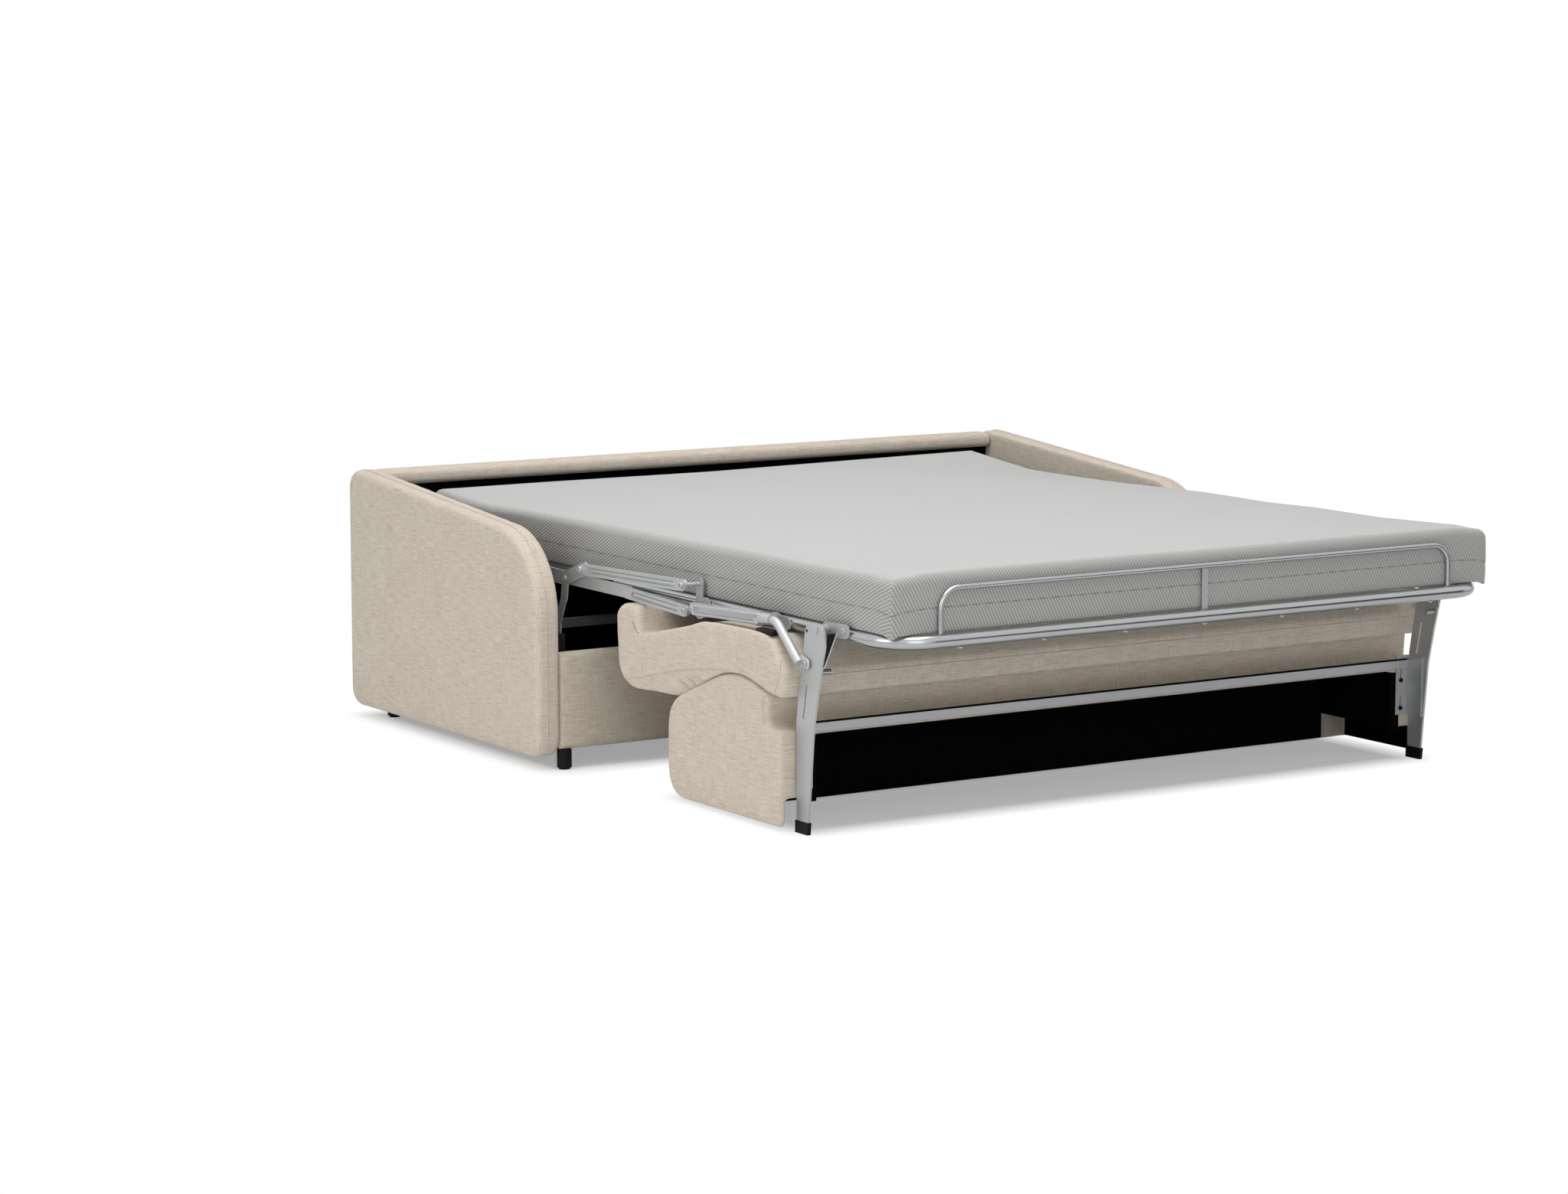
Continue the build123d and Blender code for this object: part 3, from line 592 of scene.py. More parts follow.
def move_to(obj: bpy.types.Object, places: np.ndarray) -> None:
    """Puts an object's vertices at new places."""
    obj.data.vertices.foreach_set("co", places.ravel())
    obj.data.update()


def smoothstep(low: float, high: float, value: np.ndarray) -> np.ndarray:
    """0 below low, 1 above high, and smooth between."""
    t = np.clip((value - low) / (high - low), 0.0, 1.0)
    return t * t * (3 - 2 * t)


def window(edges: tuple[float, float, float, float], value: np.ndarray) -> np.ndarray:
    """1 between the middle two edges, 0 beyond the outer two, and smooth between."""
    return smoothstep(*edges[:2], value) * (1 - smoothstep(*edges[2:], value))


def bell(value: Any, middle: float, width: float) -> Any:
    """1 at the middle, falling off over the width on both sides."""
    return np.exp(-(((value - middle) / width) ** 2))


def set_number(obj: bpy.types.Object, name: str, values: np.ndarray, domain: str = "POINT") -> None:
    """Stores a number on each vertex, or on each face's corners."""
    made = obj.data.attributes.new(name, "FLOAT", domain)
    made.data.foreach_set("value", values.astype(np.float32))


def end_edit() -> None:
    """Leaves edit mode."""
    bpy.ops.object.mode_set(mode="OBJECT")


def edit_whole(obj: bpy.types.Object) -> None:
    """Goes into edit mode with everything selected.

    Args:
        obj: The object.
    """
    make_active(obj)
    bpy.ops.object.mode_set(mode="EDIT")
    bpy.ops.mesh.select_all(action="SELECT")


def pick_nothing(obj: bpy.types.Object, kind: str) -> None:
    """Clears what is selected of an object's vertices or faces.

    Args:
        obj: The object.
        kind: What is picked next: VERT or FACE.
    """
    make_active(obj)
    bpy.ops.object.mode_set(mode="EDIT")
    bpy.ops.mesh.select_mode(type=kind)
    bpy.ops.mesh.select_all(action="DESELECT")
    end_edit()


def pick_corners(obj: bpy.types.Object, chosen: np.ndarray) -> None:
    """Goes into edit mode with some vertices and the edges between them selected.

    Args:
        obj: The object.
        chosen: One True or False for each vertex.
    """
    pick_nothing(obj, "VERT")
    obj.data.vertices.foreach_set("select", chosen)
    bpy.ops.object.mode_set(mode="EDIT")
    bpy.ops.mesh.select_mode(type="EDGE")


def pick_faces(obj: bpy.types.Object, test: Callable[[Vector, Vector], bool]) -> None:
    """Goes into edit mode with some faces selected.

    Args:
        obj: The object.
        test: Tells from a face's centre and normal whether it is selected.
    """
    pick_nothing(obj, "FACE")
    for face in obj.data.polygons:
        face.select = test(face.center, face.normal)
    bpy.ops.object.mode_set(mode="EDIT")


def extrude_whole(obj: bpy.types.Object, shift: Point3) -> None:
    """Carries a flat face along a shift, turns every face outward and stays in edit mode.

    Args:
        obj: The face's object.
        shift: The shift.
    """
    edit_whole(obj)
    bpy.ops.mesh.extrude_region_move(TRANSFORM_OT_translate={"value": shift})
    bpy.ops.mesh.select_all(action="SELECT")
    bpy.ops.mesh.normals_make_consistent(inside=False)


def box_object(size: Point3, place: Point3 = (0.0, 0.0, 0.0)) -> bpy.types.Object:
    """Models a plain box.

    Args:
        size: Its three lengths.
        place: Its middle.

    Returns:
        The box.
    """
    bpy.ops.object.select_all(action="DESELECT")
    bpy.ops.mesh.primitive_cube_add(size=1.0, location=place)
    box = bpy.context.object
    box.scale = size
    bpy.ops.object.transform_apply(location=True, rotation=True, scale=True)
    return box


def round_edges(obj: bpy.types.Object, width: float, segments: int, angle: float = 0.6) -> None:
    """Bevels the edges that are sharper than an angle.

    Args:
        obj: The object.
        width: The bevel's width.
        segments: Its rows of faces.
        angle: The angle, in radians.
    """
    bevel = obj.modifiers.new("rounded", "BEVEL")
    bevel.width, bevel.segments, bevel.limit_method, bevel.angle_limit = width, segments, "ANGLE", angle
    apply_modifiers(obj)


def shade_crisp(obj: bpy.types.Object, angle: float = CRISP) -> None:
    """Shades an object smooth up to an angle between faces."""
    make_active(obj)
    bpy.ops.object.shade_smooth_by_angle(angle=angle)


def finish_piece(
    obj: bpy.types.Object, material: bpy.types.Material, body: Body | None, replaces: Iterable[str] = ()
) -> bpy.types.Object:
    """Gives a piece its material, its body and the solids that it stands for.

    Args:
        obj: The piece.
        material: Its material.
        body: The body that it rides on, or None to leave it unattached.
        replaces: The nodes that it stands for.

    Returns:
        The piece.
    """
    obj.data.materials.clear()
    obj.data.materials.append(material)
    obj.data.polygons.foreach_set("use_smooth", [True] * len(obj.data.polygons))
    if body is not None:
        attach(obj, body.value)
    nodes = list(replaces)
    if nodes:
        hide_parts(*nodes)
    LOG.info("%s: %d faces", obj.name, len(obj.data.polygons))
    return obj


def crisp_piece(obj: bpy.types.Object, name: str, material: bpy.types.Material, body: Body) -> None:
    """Names and finishes a hard piece and keeps its edges crisp.

    Args:
        obj: The piece.
        name: Its name.
        material: Its material.
        body: The body that it rides on.
    """
    obj.name = obj.data.name = name
    finish_piece(obj, material, body)
    shade_crisp(obj)


@dataclass
class SweptPad:
    """An upholstered block: an outline seen from the side, carried across the bed, with soft edges."""

    name: str
    outline: np.ndarray
    left: float
    right: float
    left_edge: float = 0.010
    right_edge: float = 0.010
    voxel: float = 0.006
    rounds: int = 5
    smooth: int = 3
    end_facing: float = 0.72
    chunk_rows: int = 4000

    def block(self) -> bpy.types.Object:
        """Makes the plain block with rounded ends.

        Returns:
            The block.
        """
        verts = [(self.left, y, z) for y, z in self.outline]
        obj = new_object(self.name, verts, [range(len(verts))])
        extrude_whole(obj, (self.right - self.left, 0, 0))
        end_edit()
        for end, edge in ((self.left, self.left_edge), (self.right, self.right_edge)):
            pick_corners(obj, np.abs(corners_of(obj)[:, 0] - end) < 1e-6)
            bpy.ops.mesh.bevel(offset=edge, segments=self.rounds, affect="EDGES", clamp_overlap=False)
            end_edit()
        return obj

    def even(self, obj: bpy.types.Object) -> None:
        """Gives the block an even, dense mesh that can take folds.

        Args:
            obj: The block.
        """
        remesh = obj.modifiers.new("even", "REMESH")
        remesh.mode, remesh.voxel_size = "VOXEL", self.voxel
        soft = obj.modifiers.new("soft", "SMOOTH")
        soft.factor, soft.iterations = 0.5, self.smooth
        apply_modifiers(obj)

    def lay_cloth(self, obj: bpy.types.Object) -> None:
        """Lays the cloth's coordinates in metres: along the outline and across, and flat on the ends.

        Args:
            obj: The finished pad.
        """
        places = corners_of(obj)
        starts = self.outline
        steps = np.roll(starts, -1, axis=0) - starts
        lengths = np.linalg.norm(steps, axis=1)
        before = np.concatenate([[0.0], np.cumsum(lengths)])
        total = before[-1]
        run = np.empty(len(places))
        for first in range(0, len(places), self.chunk_rows):
            rows = slice(first, first + self.chunk_rows)
            chunk = places[rows, 1:]
            ahead = chunk[:, None] - starts[None]
            share = np.clip((ahead * steps).sum(2) / np.maximum(lengths**2, 1e-12), 0, 1)
            away = np.linalg.norm(ahead - share[..., None] * steps, axis=2)
            best = away.argmin(1)
            run[rows] = before[best] + share[np.arange(len(chunk)), best] * lengths[best]
        layer = obj.data.uv_layers.new(name=CLOTH_MAP)
        loops = np.empty(len(obj.data.loops), np.int64)
        obj.data.loops.foreach_get("vertex_index", loops)
        cloth = np.stack([places[loops, 0], run[loops]], 1)
        for face in obj.data.polygons:
            part = slice(face.loop_start, face.loop_start + face.loop_total)
            if abs(face.normal.x) > self.end_facing:
                cloth[part] = places[loops[part], 1:]
            elif np.ptp(cloth[part, 1]) > total / 2:
                cloth[part, 1] = np.where(cloth[part, 1] < total / 2, cloth[part, 1] + total, cloth[part, 1])
        layer.data.foreach_set("uv", cloth.astype(np.float32).ravel())

    def cover(self, obj: bpy.types.Object, shift: np.ndarray, linen: bpy.types.Material, body: Body, node: str) -> None:
        """Moves the pad's skin, lays its cloth and finishes it.

        Args:
            obj: The pad.
            shift: Each vertex's move, one row each.
            linen: Its material.
            body: The body that it rides on.
            node: The solid that it stands for.
        """
        move_to(obj, corners_of(obj) + shift)
        self.lay_cloth(obj)
        finish_piece(obj, linen, body, [node])


def tuft_noise(places: np.ndarray, scale: float, seed: float) -> np.ndarray:
    """A soft cloud value from -1 to 1 at each place.

    Args:
        places: The places, one row each.
        scale: Clouds per metre.
        seed: A shift that makes one cloud differ from another.

    Returns:
        One value for each place.
    """
    return np.array([noise.noise(Vector(p) * scale + Vector((seed, -seed, seed * 0.5))) for p in places])


def seam_line(
    name: str, surface: bpy.types.Object, points: Sequence[Point3], finish: bpy.types.Material, body: Body,
    radius: float = 0.0009, step: float = 0.006
) -> bpy.types.Object:
    """Sews a thin raised line along a pad's surface: a seam in linen, and painted shade along a crease in the dark
    crease linen.

    Args:
        name: The seam's name.
        surface: The pad that it lies on.
        points: The line's points near the surface.
        finish: Its material.
        body: The body that it rides on.
        radius: Half its thickness.
        step: The distance between its points.

    Returns:
        The seam.
    """
    tree = BVHTree.FromObject(surface, bpy.context.evaluated_depsgraph_get())
    line: list[Vector] = []
    for a, b in zip(points[:-1], points[1:]):
        start, end = Vector(a), Vector(b)
        cuts = max(1, int((end - start).length / step))
        line += [start.lerp(end, i / cuts) for i in range(cuts)]
    line.append(Vector(points[-1]))
    curve = bpy.data.curves.new(name, "CURVE")
    curve.dimensions, curve.bevel_depth, curve.bevel_resolution, curve.use_fill_caps = "3D", radius, 1, True
    spline = curve.splines.new("POLY")
    spline.points.add(len(line) - 1)
    for knot, place in zip(spline.points, line):
        hit, normal, _, _ = tree.find_nearest(place)
        knot.co = (*(hit + normal * radius * SEAM_LIFT), 1.0)
    obj = bpy.data.objects.new(name, curve)
    bpy.context.scene.collection.objects.link(obj)
    make_active(obj)
    bpy.ops.object.convert(target="MESH")
    obj = bpy.context.view_layer.objects.active
    if CLOTH_MAP not in obj.data.uv_layers:
        obj.data.uv_layers.new(name=CLOTH_MAP)
    return finish_piece(obj, finish, body)


@dataclass
class Base:
    """The upholstered base: arms, front rail, back beam and back panel."""

    finishes: Finishes
    half_inner: float = 0.906
    arm_thick: float = 0.060
    arm_corners: Sequence[Point2] = ((0.131, 0.030), (1.075, 0.030), (1.075, 0.612), (0.131, 0.531))
    arm_rounds: Sequence[float] = (0.045, 0.045, 0.045, 0.195)
    outer_edge: float = 0.015
    inner_edge: float = 0.008
    seam_inset: float = 0.027
    seam_radius: float = 0.0016
    crown: float = 0.0010
    slack: float = 0.0004
    bar_wave: float = 0.0006
    bar_edges: Sequence[tuple[str, float]] = (("front_rail", 0.009), ("back_beam", 0.014), ("back_panel", 0.006))

    def build(self) -> None:
        """Builds and dresses every piece of the base."""
        for side in SIDES:
            self._arm(side)
        for node, edge in self.bar_edges:
            self._bar(node, edge)

    def _arm(self, side: float) -> None:
        """Builds one arm panel, slightly crowned, with the seam that runs round its edge.

        Args:
            side: -1 for the left arm, 1 for the right.
        """
        outer = side * (self.half_inner + self.arm_thick)
        low, high = sorted((side * self.half_inner, outer))
        edges = (self.outer_edge, self.inner_edge)
        left_edge, right_edge = edges if side < 0 else edges[::-1]
        outline = rounded_outline(self.arm_corners, self.arm_rounds, 0.010)
        pad = SweptPad(f"dressed_arm_{SIDES[side]}", outline, low, high, left_edge, right_edge, voxel=0.0055, smooth=2)
        obj = pad.block()
        pad.even(obj)
        places, normals = corners_of(obj), normals_of(obj)
        flat = smoothstep(0.8, 0.98, np.abs(normals[:, 0]))
        inner = side * places[:, 0] < self.half_inner + 0.01
        crown = np.where(inner, -self.slack, tuft_noise(places, 5.0, 3.0 + side) * self.crown)
        shift = normals * (flat * crown)[:, None]
        pad.cover(obj, shift, self.finishes.linen, Body.BASE, f"arm_{SIDES[side]}")
        ring = [(outer - side * self.seam_inset, y, z) for y, z in np.concatenate([outline, outline[:1]])]
        seam_line(f"arm_seam_{SIDES[side]}", obj, ring, self.finishes.linen, Body.BASE, self.seam_radius)

    def _bar(self, node: str, edge: float) -> None:
        """Builds one long upholstered bar in the space of its solid.

        Args:
            node: The solid's name.
            edge: The radius of its long edges.
        """
        low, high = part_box(node)
        corners = [(low.y, low.z), (high.y, low.z), (high.y, high.z), (low.y, high.z)]
        outline = rounded_outline(corners, [edge] * 4, 0.006)
        pad = SweptPad(f"dressed_{node}", outline, low.x, high.x, 0.002, 0.002, voxel=0.0075, rounds=2)
        obj = pad.block()
        pad.even(obj)
        places, normals = corners_of(obj), normals_of(obj)
        shift = normals * (tuft_noise(places, 4.0, 17.0) * self.bar_wave - self.slack)[:, None]
        pad.cover(obj, shift, self.finishes.linen, Body.BASE, node)


@dataclass
class SeatAndBack:
    """The turned-over seat and the backrest that carries it, hung between the legs."""

    finishes: Finishes
    half: float = 0.878
    seat_corners: Sequence[Point2] = (
        (296, 284), (291, 338), (345, 411), (490, 412), (612, 407), (877, 350), (896, 409), (955, 409.5), (984, 392),
        (975, 230), (704, 238.5), (494, 326.8), (352, 288.6))
    seat_rounds: Sequence[float] = (14, 16, 40, 150, 200, 8, 15, 20, 30, 55, 40, 248, 60)
    back_corners: Sequence[Point2] = (
        (303, 8), (303, 215), (358, 218), (349, 287), (494, 326), (764, 219), (764, 8))
    back_rounds: Sequence[float] = (8, 12, 14, 12, 248, 78, 62)
    roll_seam: Sequence[Point2] = (
        (512, 318), (553, 314), (633, 305), (731, 287), (795, 273), (869, 254), (926, 245), (966, 242))
    front_seam: Sequence[Point2] = ((300, 374), (304, 340), (311, 318), (325, 292))
    notch_crease: Sequence[Point2] = ((908, 374), (895, 360), (884, 350))
    gathers: Sequence[tuple[Point2, Point2]] = (
        ((690, 253), (744, 268)), ((660, 263), (712, 281)), ((632, 277), (684, 291)))
    throat_seams: Sequence[Sequence[Point2]] = (
        ((366, 281), (366, 246), (361, 221)), ((373, 282), (373, 246), (368, 220)))
    front_crease: Point2 = (291, 328)
    cavity_depth: float = 0.249
    cavity_top: float = 0.201
    wall: float = 0.083
    cheek: float = 0.014
    cheek_clearance: float = 0.070
    cutter_reach: float = 0.2
    roll_in: float = 0.14
    gather_depth: float = 0.0095
    gather_width: float = 0.008
    ridge_height: float = 0.006
    crease_depth: float = 0.004
    belly_drop: float = 0.008
    ripple_depth: float = 0.0016
    seat_wave: float = 0.0012
    back_wave: float = 0.0010
    slack: float = 0.0004

    def build(self) -> None:
        """Builds and dresses the seat and the backrest."""
        self._seat()
        self._backrest()

    @staticmethod
    def _from_foot(corners: Sequence[Point2]) -> list[Point2]:
        """Millimetres from the foot tube, as places in the frame."""
        return [(FOOT_LINE + y / MM, z / MM) for y, z in corners]

    def _outline(self, corners: Sequence[Point2], rounds: Sequence[float]) -> np.ndarray:
        """A pad's outline from its corners and their rounds, in millimetres."""
        return rounded_outline(self._from_foot(corners), [r / MM for r in rounds], 0.007)

    def _end_seams(self, name: str, pad: bpy.types.Object, line: Sequence[Point2], finish: bpy.types.Material,
                   radius: float = 0.0009) -> None:
        """Sews the same seam on both ends of a pad.

        Args:
            name: The seam's name.
            pad: The pad.
            line: The seam's points, in millimetres from the foot tube.
            finish: Its material.
            radius: Half its thickness.
        """
        for side, side_name in SIDES.items():
            points = [(side * self.half, y, z) for y, z in self._from_foot(line)]
            seam_line(f"{name}_{side_name}", pad, points, finish, Body.BACK, radius)

    def _seat(self) -> None:
        """Builds the seat: a wavy slab with a raised lip, rolled under and gathered where it bends."""
        outline = self._outline(self.seat_corners, self.seat_rounds)
        pad = SweptPad("dressed_seat", outline, -self.half, self.half)
        obj = pad.block()
        pad.even(obj)
        places, normals = corners_of(obj), normals_of(obj)
        x, y, z = places.T
        side, run = np.sign(x), y - FOOT_LINE
        near_end = smoothstep(0.80, 0.874, np.abs(x))
        seam_y, seam_z = np.array(self.roll_seam).T / MM
        below = np.clip(np.interp(run, seam_y, seam_z) - z, 0.0, 0.07) * (run > seam_y[0])
        inward = self.roll_in * below * near_end
        faces_end = smoothstep(0.4, 0.9, np.abs(normals[:, 0]))
        for first, second in self.gathers:
            a, b = np.array(first) / MM, np.array(second) / MM
            spot = np.stack([run, z], 1) - a
            share = np.clip(spot @ (b - a) / ((b - a) @ (b - a)), 0, 1)
            away = np.linalg.norm(spot - share[:, None] * (b - a), axis=1)
            inward += self.gather_depth * bell(away, 0.0, self.gather_width) * faces_end * (1 - 0.7 * share)
        up, down = normals[:, 2], -normals[:, 2]
        rim = smoothstep(0.862, 0.875, np.abs(x))
        ridge = self.ridge_height * rim * window((0.33, 0.40, 0.60, 0.72), run)
        crease = self.crease_depth * bell(run, 0.880, 0.007)
        belly = self.belly_drop * smoothstep(0.3, 0.9, down) * window((0.66, 0.76, 0.90, 0.97), run)
        tucks = bell(run, 0.69, 0.05) * smoothstep(0.0, 0.4, down)
        ripple = np.sin(x * 190 + tuft_noise(places, 6.0, 2.0) * 3) * self.ripple_depth * tucks
        cloud = tuft_noise(places * np.array([0.5, 1.0, 1.0]), 9.0, 7.0) * self.seat_wave
        shift = normals * (cloud + ripple)[:, None]
        shift[:, 0] -= side * inward
        shift[:, 2] += smoothstep(0.2, 0.8, up) * (ridge - crease) - belly
        pad.cover(obj, shift, self.finishes.linen, Body.BACK, "seat_cushion")
        self._end_seams("seat_roll_seam", obj, self.roll_seam, self.finishes.linen, 0.0012)
        self._end_seams("seat_front_seam", obj, self.front_seam, self.finishes.linen, 0.0012)
        # The notch crease and the gathers get thin lines of the dark crease linen: painted shade in the creases.
        self._end_seams("seat_notch_crease_shade", obj, self.notch_crease, self.finishes.crease, 0.0008)
        for number, (first, second) in enumerate(self.gathers[:2]):
            middle = (first[0] * 0.45 + second[0] * 0.55, first[1] * 0.45 + second[1] * 0.55)
            self._end_seams(f"seat_gather_{number}", obj, (first, middle), self.finishes.crease, 0.0006)
        (y_front, z_front), = self._from_foot([self.front_crease])
        reach = self.half - 0.012
        seam_line("seat_front_crease", obj, [(-reach, y_front, z_front), (reach, y_front, z_front)],
                  self.finishes.linen, Body.BACK, 0.0010, 0.012)

    def _backrest(self) -> None:
        """Builds the backrest: a hollow padded block, open towards the foot and the floor."""
        outline = self._outline(self.back_corners, self.back_rounds)
        pad = SweptPad("dressed_backrest", outline, -self.half, self.half, 0.008, 0.008)
        obj = pad.block()
        pad.even(obj)
        face, over = FOOT_LINE + self.back_corners[0][0] / MM, self.cutter_reach
        for reach, top in ((self.half - self.wall, self.cavity_top), (self.half - self.cheek, self.cheek_clearance)):
            cutter = box_object((2 * reach, self.cavity_depth + over, top + over),
                                (0.0, face + (self.cavity_depth - over) / 2, (top - over) / 2))
            cut = obj.modifiers.new("hollow", "BOOLEAN")
            cut.operation, cut.object, cut.solver = "DIFFERENCE", cutter, "EXACT"
            apply_modifiers(obj)
            bpy.data.objects.remove(cutter)
        pad.smooth = 2
        pad.even(obj)
        places, normals = corners_of(obj), normals_of(obj)
        ends = smoothstep(0.8, 0.98, np.abs(normals[:, 0]))
        cloud = tuft_noise(places, 8.0, 11.0) * self.back_wave * (0.4 + 0.6 * ends) - self.slack
        pad.cover(obj, normals * cloud[:, None], self.finishes.linen, Body.BACK, "backrest")
        for number, line in enumerate(self.throat_seams):
            self._end_seams(f"throat_seam_{number}", obj, line, self.finishes.linen, 0.0010)
        low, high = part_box("cross_bar")
        cheek, wall = self.half - self.cheek, self.half - self.wall
        above_bar = (low.y + 0.0006 - FOOT_LINE, high.y + 0.004 - FOOT_LINE)
        # The black strip above the cross bar is painted shade in the gap between the bar and the backrest.
        self._felt("bar_gap_shade", (0.0, high.x - 0.002), above_bar, (high.z - 0.001, high.z + 0.003))
        self._felt("cheek_felt", (cheek - 0.0030, cheek + 0.0020), (0.316, 0.548), (0.012, 0.068))
        self._felt("front_felt", (wall - 0.007, 0.8125), (0.3012, 0.3180), (0.060, 0.1985))

    def _felt(self, name: str, across: Point2, along: Point2, heights: Point2) -> None:
        """Lays a black strip inside both ends of the backrest: felt lining on the cheeks and front, painted shade in
        the gap above the cross bar.

        Args:
            name: The strip's name.
            across: Its nearest and farthest distance from the bed's middle.
            along: Its start and end from the foot tube.
            heights: Its low and high edge.
        """
        middle = [sum(ends) / 2 for ends in (across, along, heights)]
        size = [ends[1] - ends[0] for ends in (across, along, heights)]
        for side, side_name in SIDES.items():
            strip = box_object(size, (side * middle[0], FOOT_LINE + middle[1], middle[2]))
            pick_faces(strip, lambda centre, normal: True)
            bpy.ops.mesh.bevel(offset=0.0006, segments=2, affect="EDGES")
            end_edit()
            crisp_piece(strip, f"{name}_{side_name}", self.finishes.lining, Body.BACK)


@dataclass
class Mattress:
    """The mattress: one rounded slab, parted out of sight into a rear and a front piece."""

    finishes: Finishes
    half_width: float = 0.8
    foot: float = -1.048
    head: float = 0.9414
    bottom: float = 0.4475
    thick: float = 0.122
    edge: float = 0.020
    low_edge: float = 0.006
    squareness: float = 5.0
    bulge: float = 0.0010
    seam_share: float = 0.58
    step: float = 0.016
    parting: float = -0.415
    side_pitch: Point2 = (0.0146, 0.0080)
    end_pitch: Point2 = (0.00775, 0.0148)
    near_sag: Sequence[Point2] = (
        (-1.048, 0.0), (-0.92, 0.006), (-0.71, 0.009), (-0.37, 0.010), (0.05, 0.013), (0.345, 0.016),
        (0.47, 0.017), (0.664, 0.019), (0.80, 0.012), (0.941, 0.0))
    far_sag: Sequence[Point2] = (
        (-1.048, 0.0), (-0.92, 0.008), (-0.71, 0.014), (-0.48, 0.013), (-0.30, 0.018), (-0.065, 0.017),
        (0.345, 0.024), (0.664, 0.026), (0.80, 0.014), (0.941, 0.0))
    head_drop: Sequence[Point2] = ((-0.8, 0.006), (-0.4, 0.009), (0.0, 0.009), (0.5, 0.003), (0.8, -0.003))
    tube_bend: Point2 = (0.700, -0.960)
    edge_rows: int = 7
    side_rows: int = 12
    low_rows: int = 5
    turn_rows: int = 8
    seam_depth: float = 0.0008
    wave: float = 0.0022
    foot_sag: float = 0.007
    corner_droop: float = 0.010
    rim_droop: float = 0.0030
    foot_spread: float = 0.004
    smooth_angle: float = math.radians(50)

    def _border(self) -> tuple[np.ndarray, np.ndarray]:
        """The border's section, from the top's flat, over the edge and down to the bottom's flat.

        Returns:
            Rows of outward offset and height, and how far each row shows ribs.
        """
        top, low = self.bottom + self.thick, self.bottom
        rows: list[Point2] = []
        ribs: list[float] = []
        for i in range(self.edge_rows + 1):
            a = math.radians(90 - 90 * i / self.edge_rows)
            rows.append((self.edge * math.cos(a), top - self.edge + self.edge * math.sin(a)))
            ribs.append(float(smoothstep(-0.25, 0.6, np.array(i / self.edge_rows))))
        for i in range(1, self.side_rows + 1):
            t = i / self.side_rows
            seam = self.seam_depth * bell(t, self.seam_share, 0.06)
            height = top - self.edge + (low + self.low_edge - top + self.edge) * t
            rows.append((self.edge + self.bulge * math.sin(math.pi * t) - seam, height))
            ribs.append(1.0)
        for i in range(1, self.low_rows + 1):
            a = math.radians(90 * i / self.low_rows)
            inner = self.edge - self.low_edge
            rows.append((inner + self.low_edge * math.cos(a), low + self.low_edge - self.low_edge * math.sin(a)))
            ribs.append(1.0 if i < 4 else 0.0)
        rows.append((0.0, low))
        ribs.append(0.0)
        return np.array(rows), np.array(ribs)

    def _perimeter(self, xs: np.ndarray, ys: np.ndarray) -> list[tuple[float, float, float, float, bool]]:
        """The way round the slab.

        Args:
            xs: Grid lines across.
            ys: Grid lines along.

        Returns:
            Rows of place (x, y), outward direction (x, y), and whether the next strip belongs to a long side.
        """
        rows: list[tuple[float, float, float, float, bool]] = []
        sides = [([(xs[0], y) for y in ys[::-1]], (-1.0, 0.0)), ([(x, ys[0]) for x in xs], (0.0, -1.0)),
                 ([(xs[-1], y) for y in ys], (1.0, 0.0)), ([(x, ys[-1]) for x in xs[::-1]], (0.0, 1.0))]
        for k, (line, out) in enumerate(sides):
            long_side = k % 2 == 0
            rows += [(x, y, *out, long_side) for x, y in line]
            after = sides[(k + 1) % 4][1]
            for i in range(1, self.turn_rows):
                turn = math.pi / 2 * i / self.turn_rows
                c, s = math.cos(turn), math.sin(turn)
                reach = (c**self.squareness + s**self.squareness) ** (-1 / self.squareness)
                nx, ny = out[0] * c + after[0] * s, out[1] * c + after[1] * s
                rows.append((*line[-1], reach * nx, reach * ny, long_side == (i < self.turn_rows // 2)))
        return rows

    def _slab(self) -> bpy.types.Object:
        """Makes the whole slab.

        Returns:
            The slab, with the numbers of its ribs stored on it.
        """
        inset = self.half_width - self.edge
        xs = np.linspace(-inset, inset, int(inset / self.step) + 1)
        ys = np.linspace(self.foot + self.edge, self.head - self.edge, int((self.head - self.foot) / self.step) + 1)
        rows, (section, ribs) = self._perimeter(xs, ys), self._border()
        deep, count, wide = len(section), len(rows), len(xs)
        verts: list[Point3] = [(x + nx * o, y + ny * o, z) for x, y, nx, ny, _ in rows for o, z in section]
        faces: list[tuple[int, ...]] = []
        turns: list[float] = []
        for i in range(count):
            pitch = self.side_pitch if rows[i][4] else self.end_pitch
            for j in range(deep - 1):
                a, b = i * deep + j, (i + 1) % count * deep + j
                faces.append((a, a + 1, b + 1, b))
                turns += [verts[v][1 if rows[i][4] else 0] / pitch[0] + verts[v][2] / pitch[1] for v in faces[-1]]
        border = np.tile(ribs, count)
        for z, turned in ((section[0][1], False), (section[-1][1], True)):
            start = len(verts)
            verts += [(x, y, z) for y in ys for x in xs]
            for j in range(len(ys) - 1):
                for i in range(wide - 1):
                    a = start + j * wide + i
                    quad = (a, a + 1, a + wide + 1, a + wide)
                    faces.append(quad[::-1] if turned else quad)
                    turns += [0.0] * 4
        obj = new_object("slab", verts, faces)
        heights = np.array([v[2] for v in verts])
        set_number(obj, "rib_turns", np.array(turns), "CORNER")
        set_number(obj, "border", np.concatenate([border, np.zeros(len(verts) - len(border))]))
        set_number(obj, "height_share", (heights - self.bottom) / self.thick)
        edit_whole(obj)
        bpy.ops.mesh.remove_doubles(threshold=0.00005)
        bpy.ops.mesh.normals_make_consistent(inside=False)
        end_edit()
        return obj

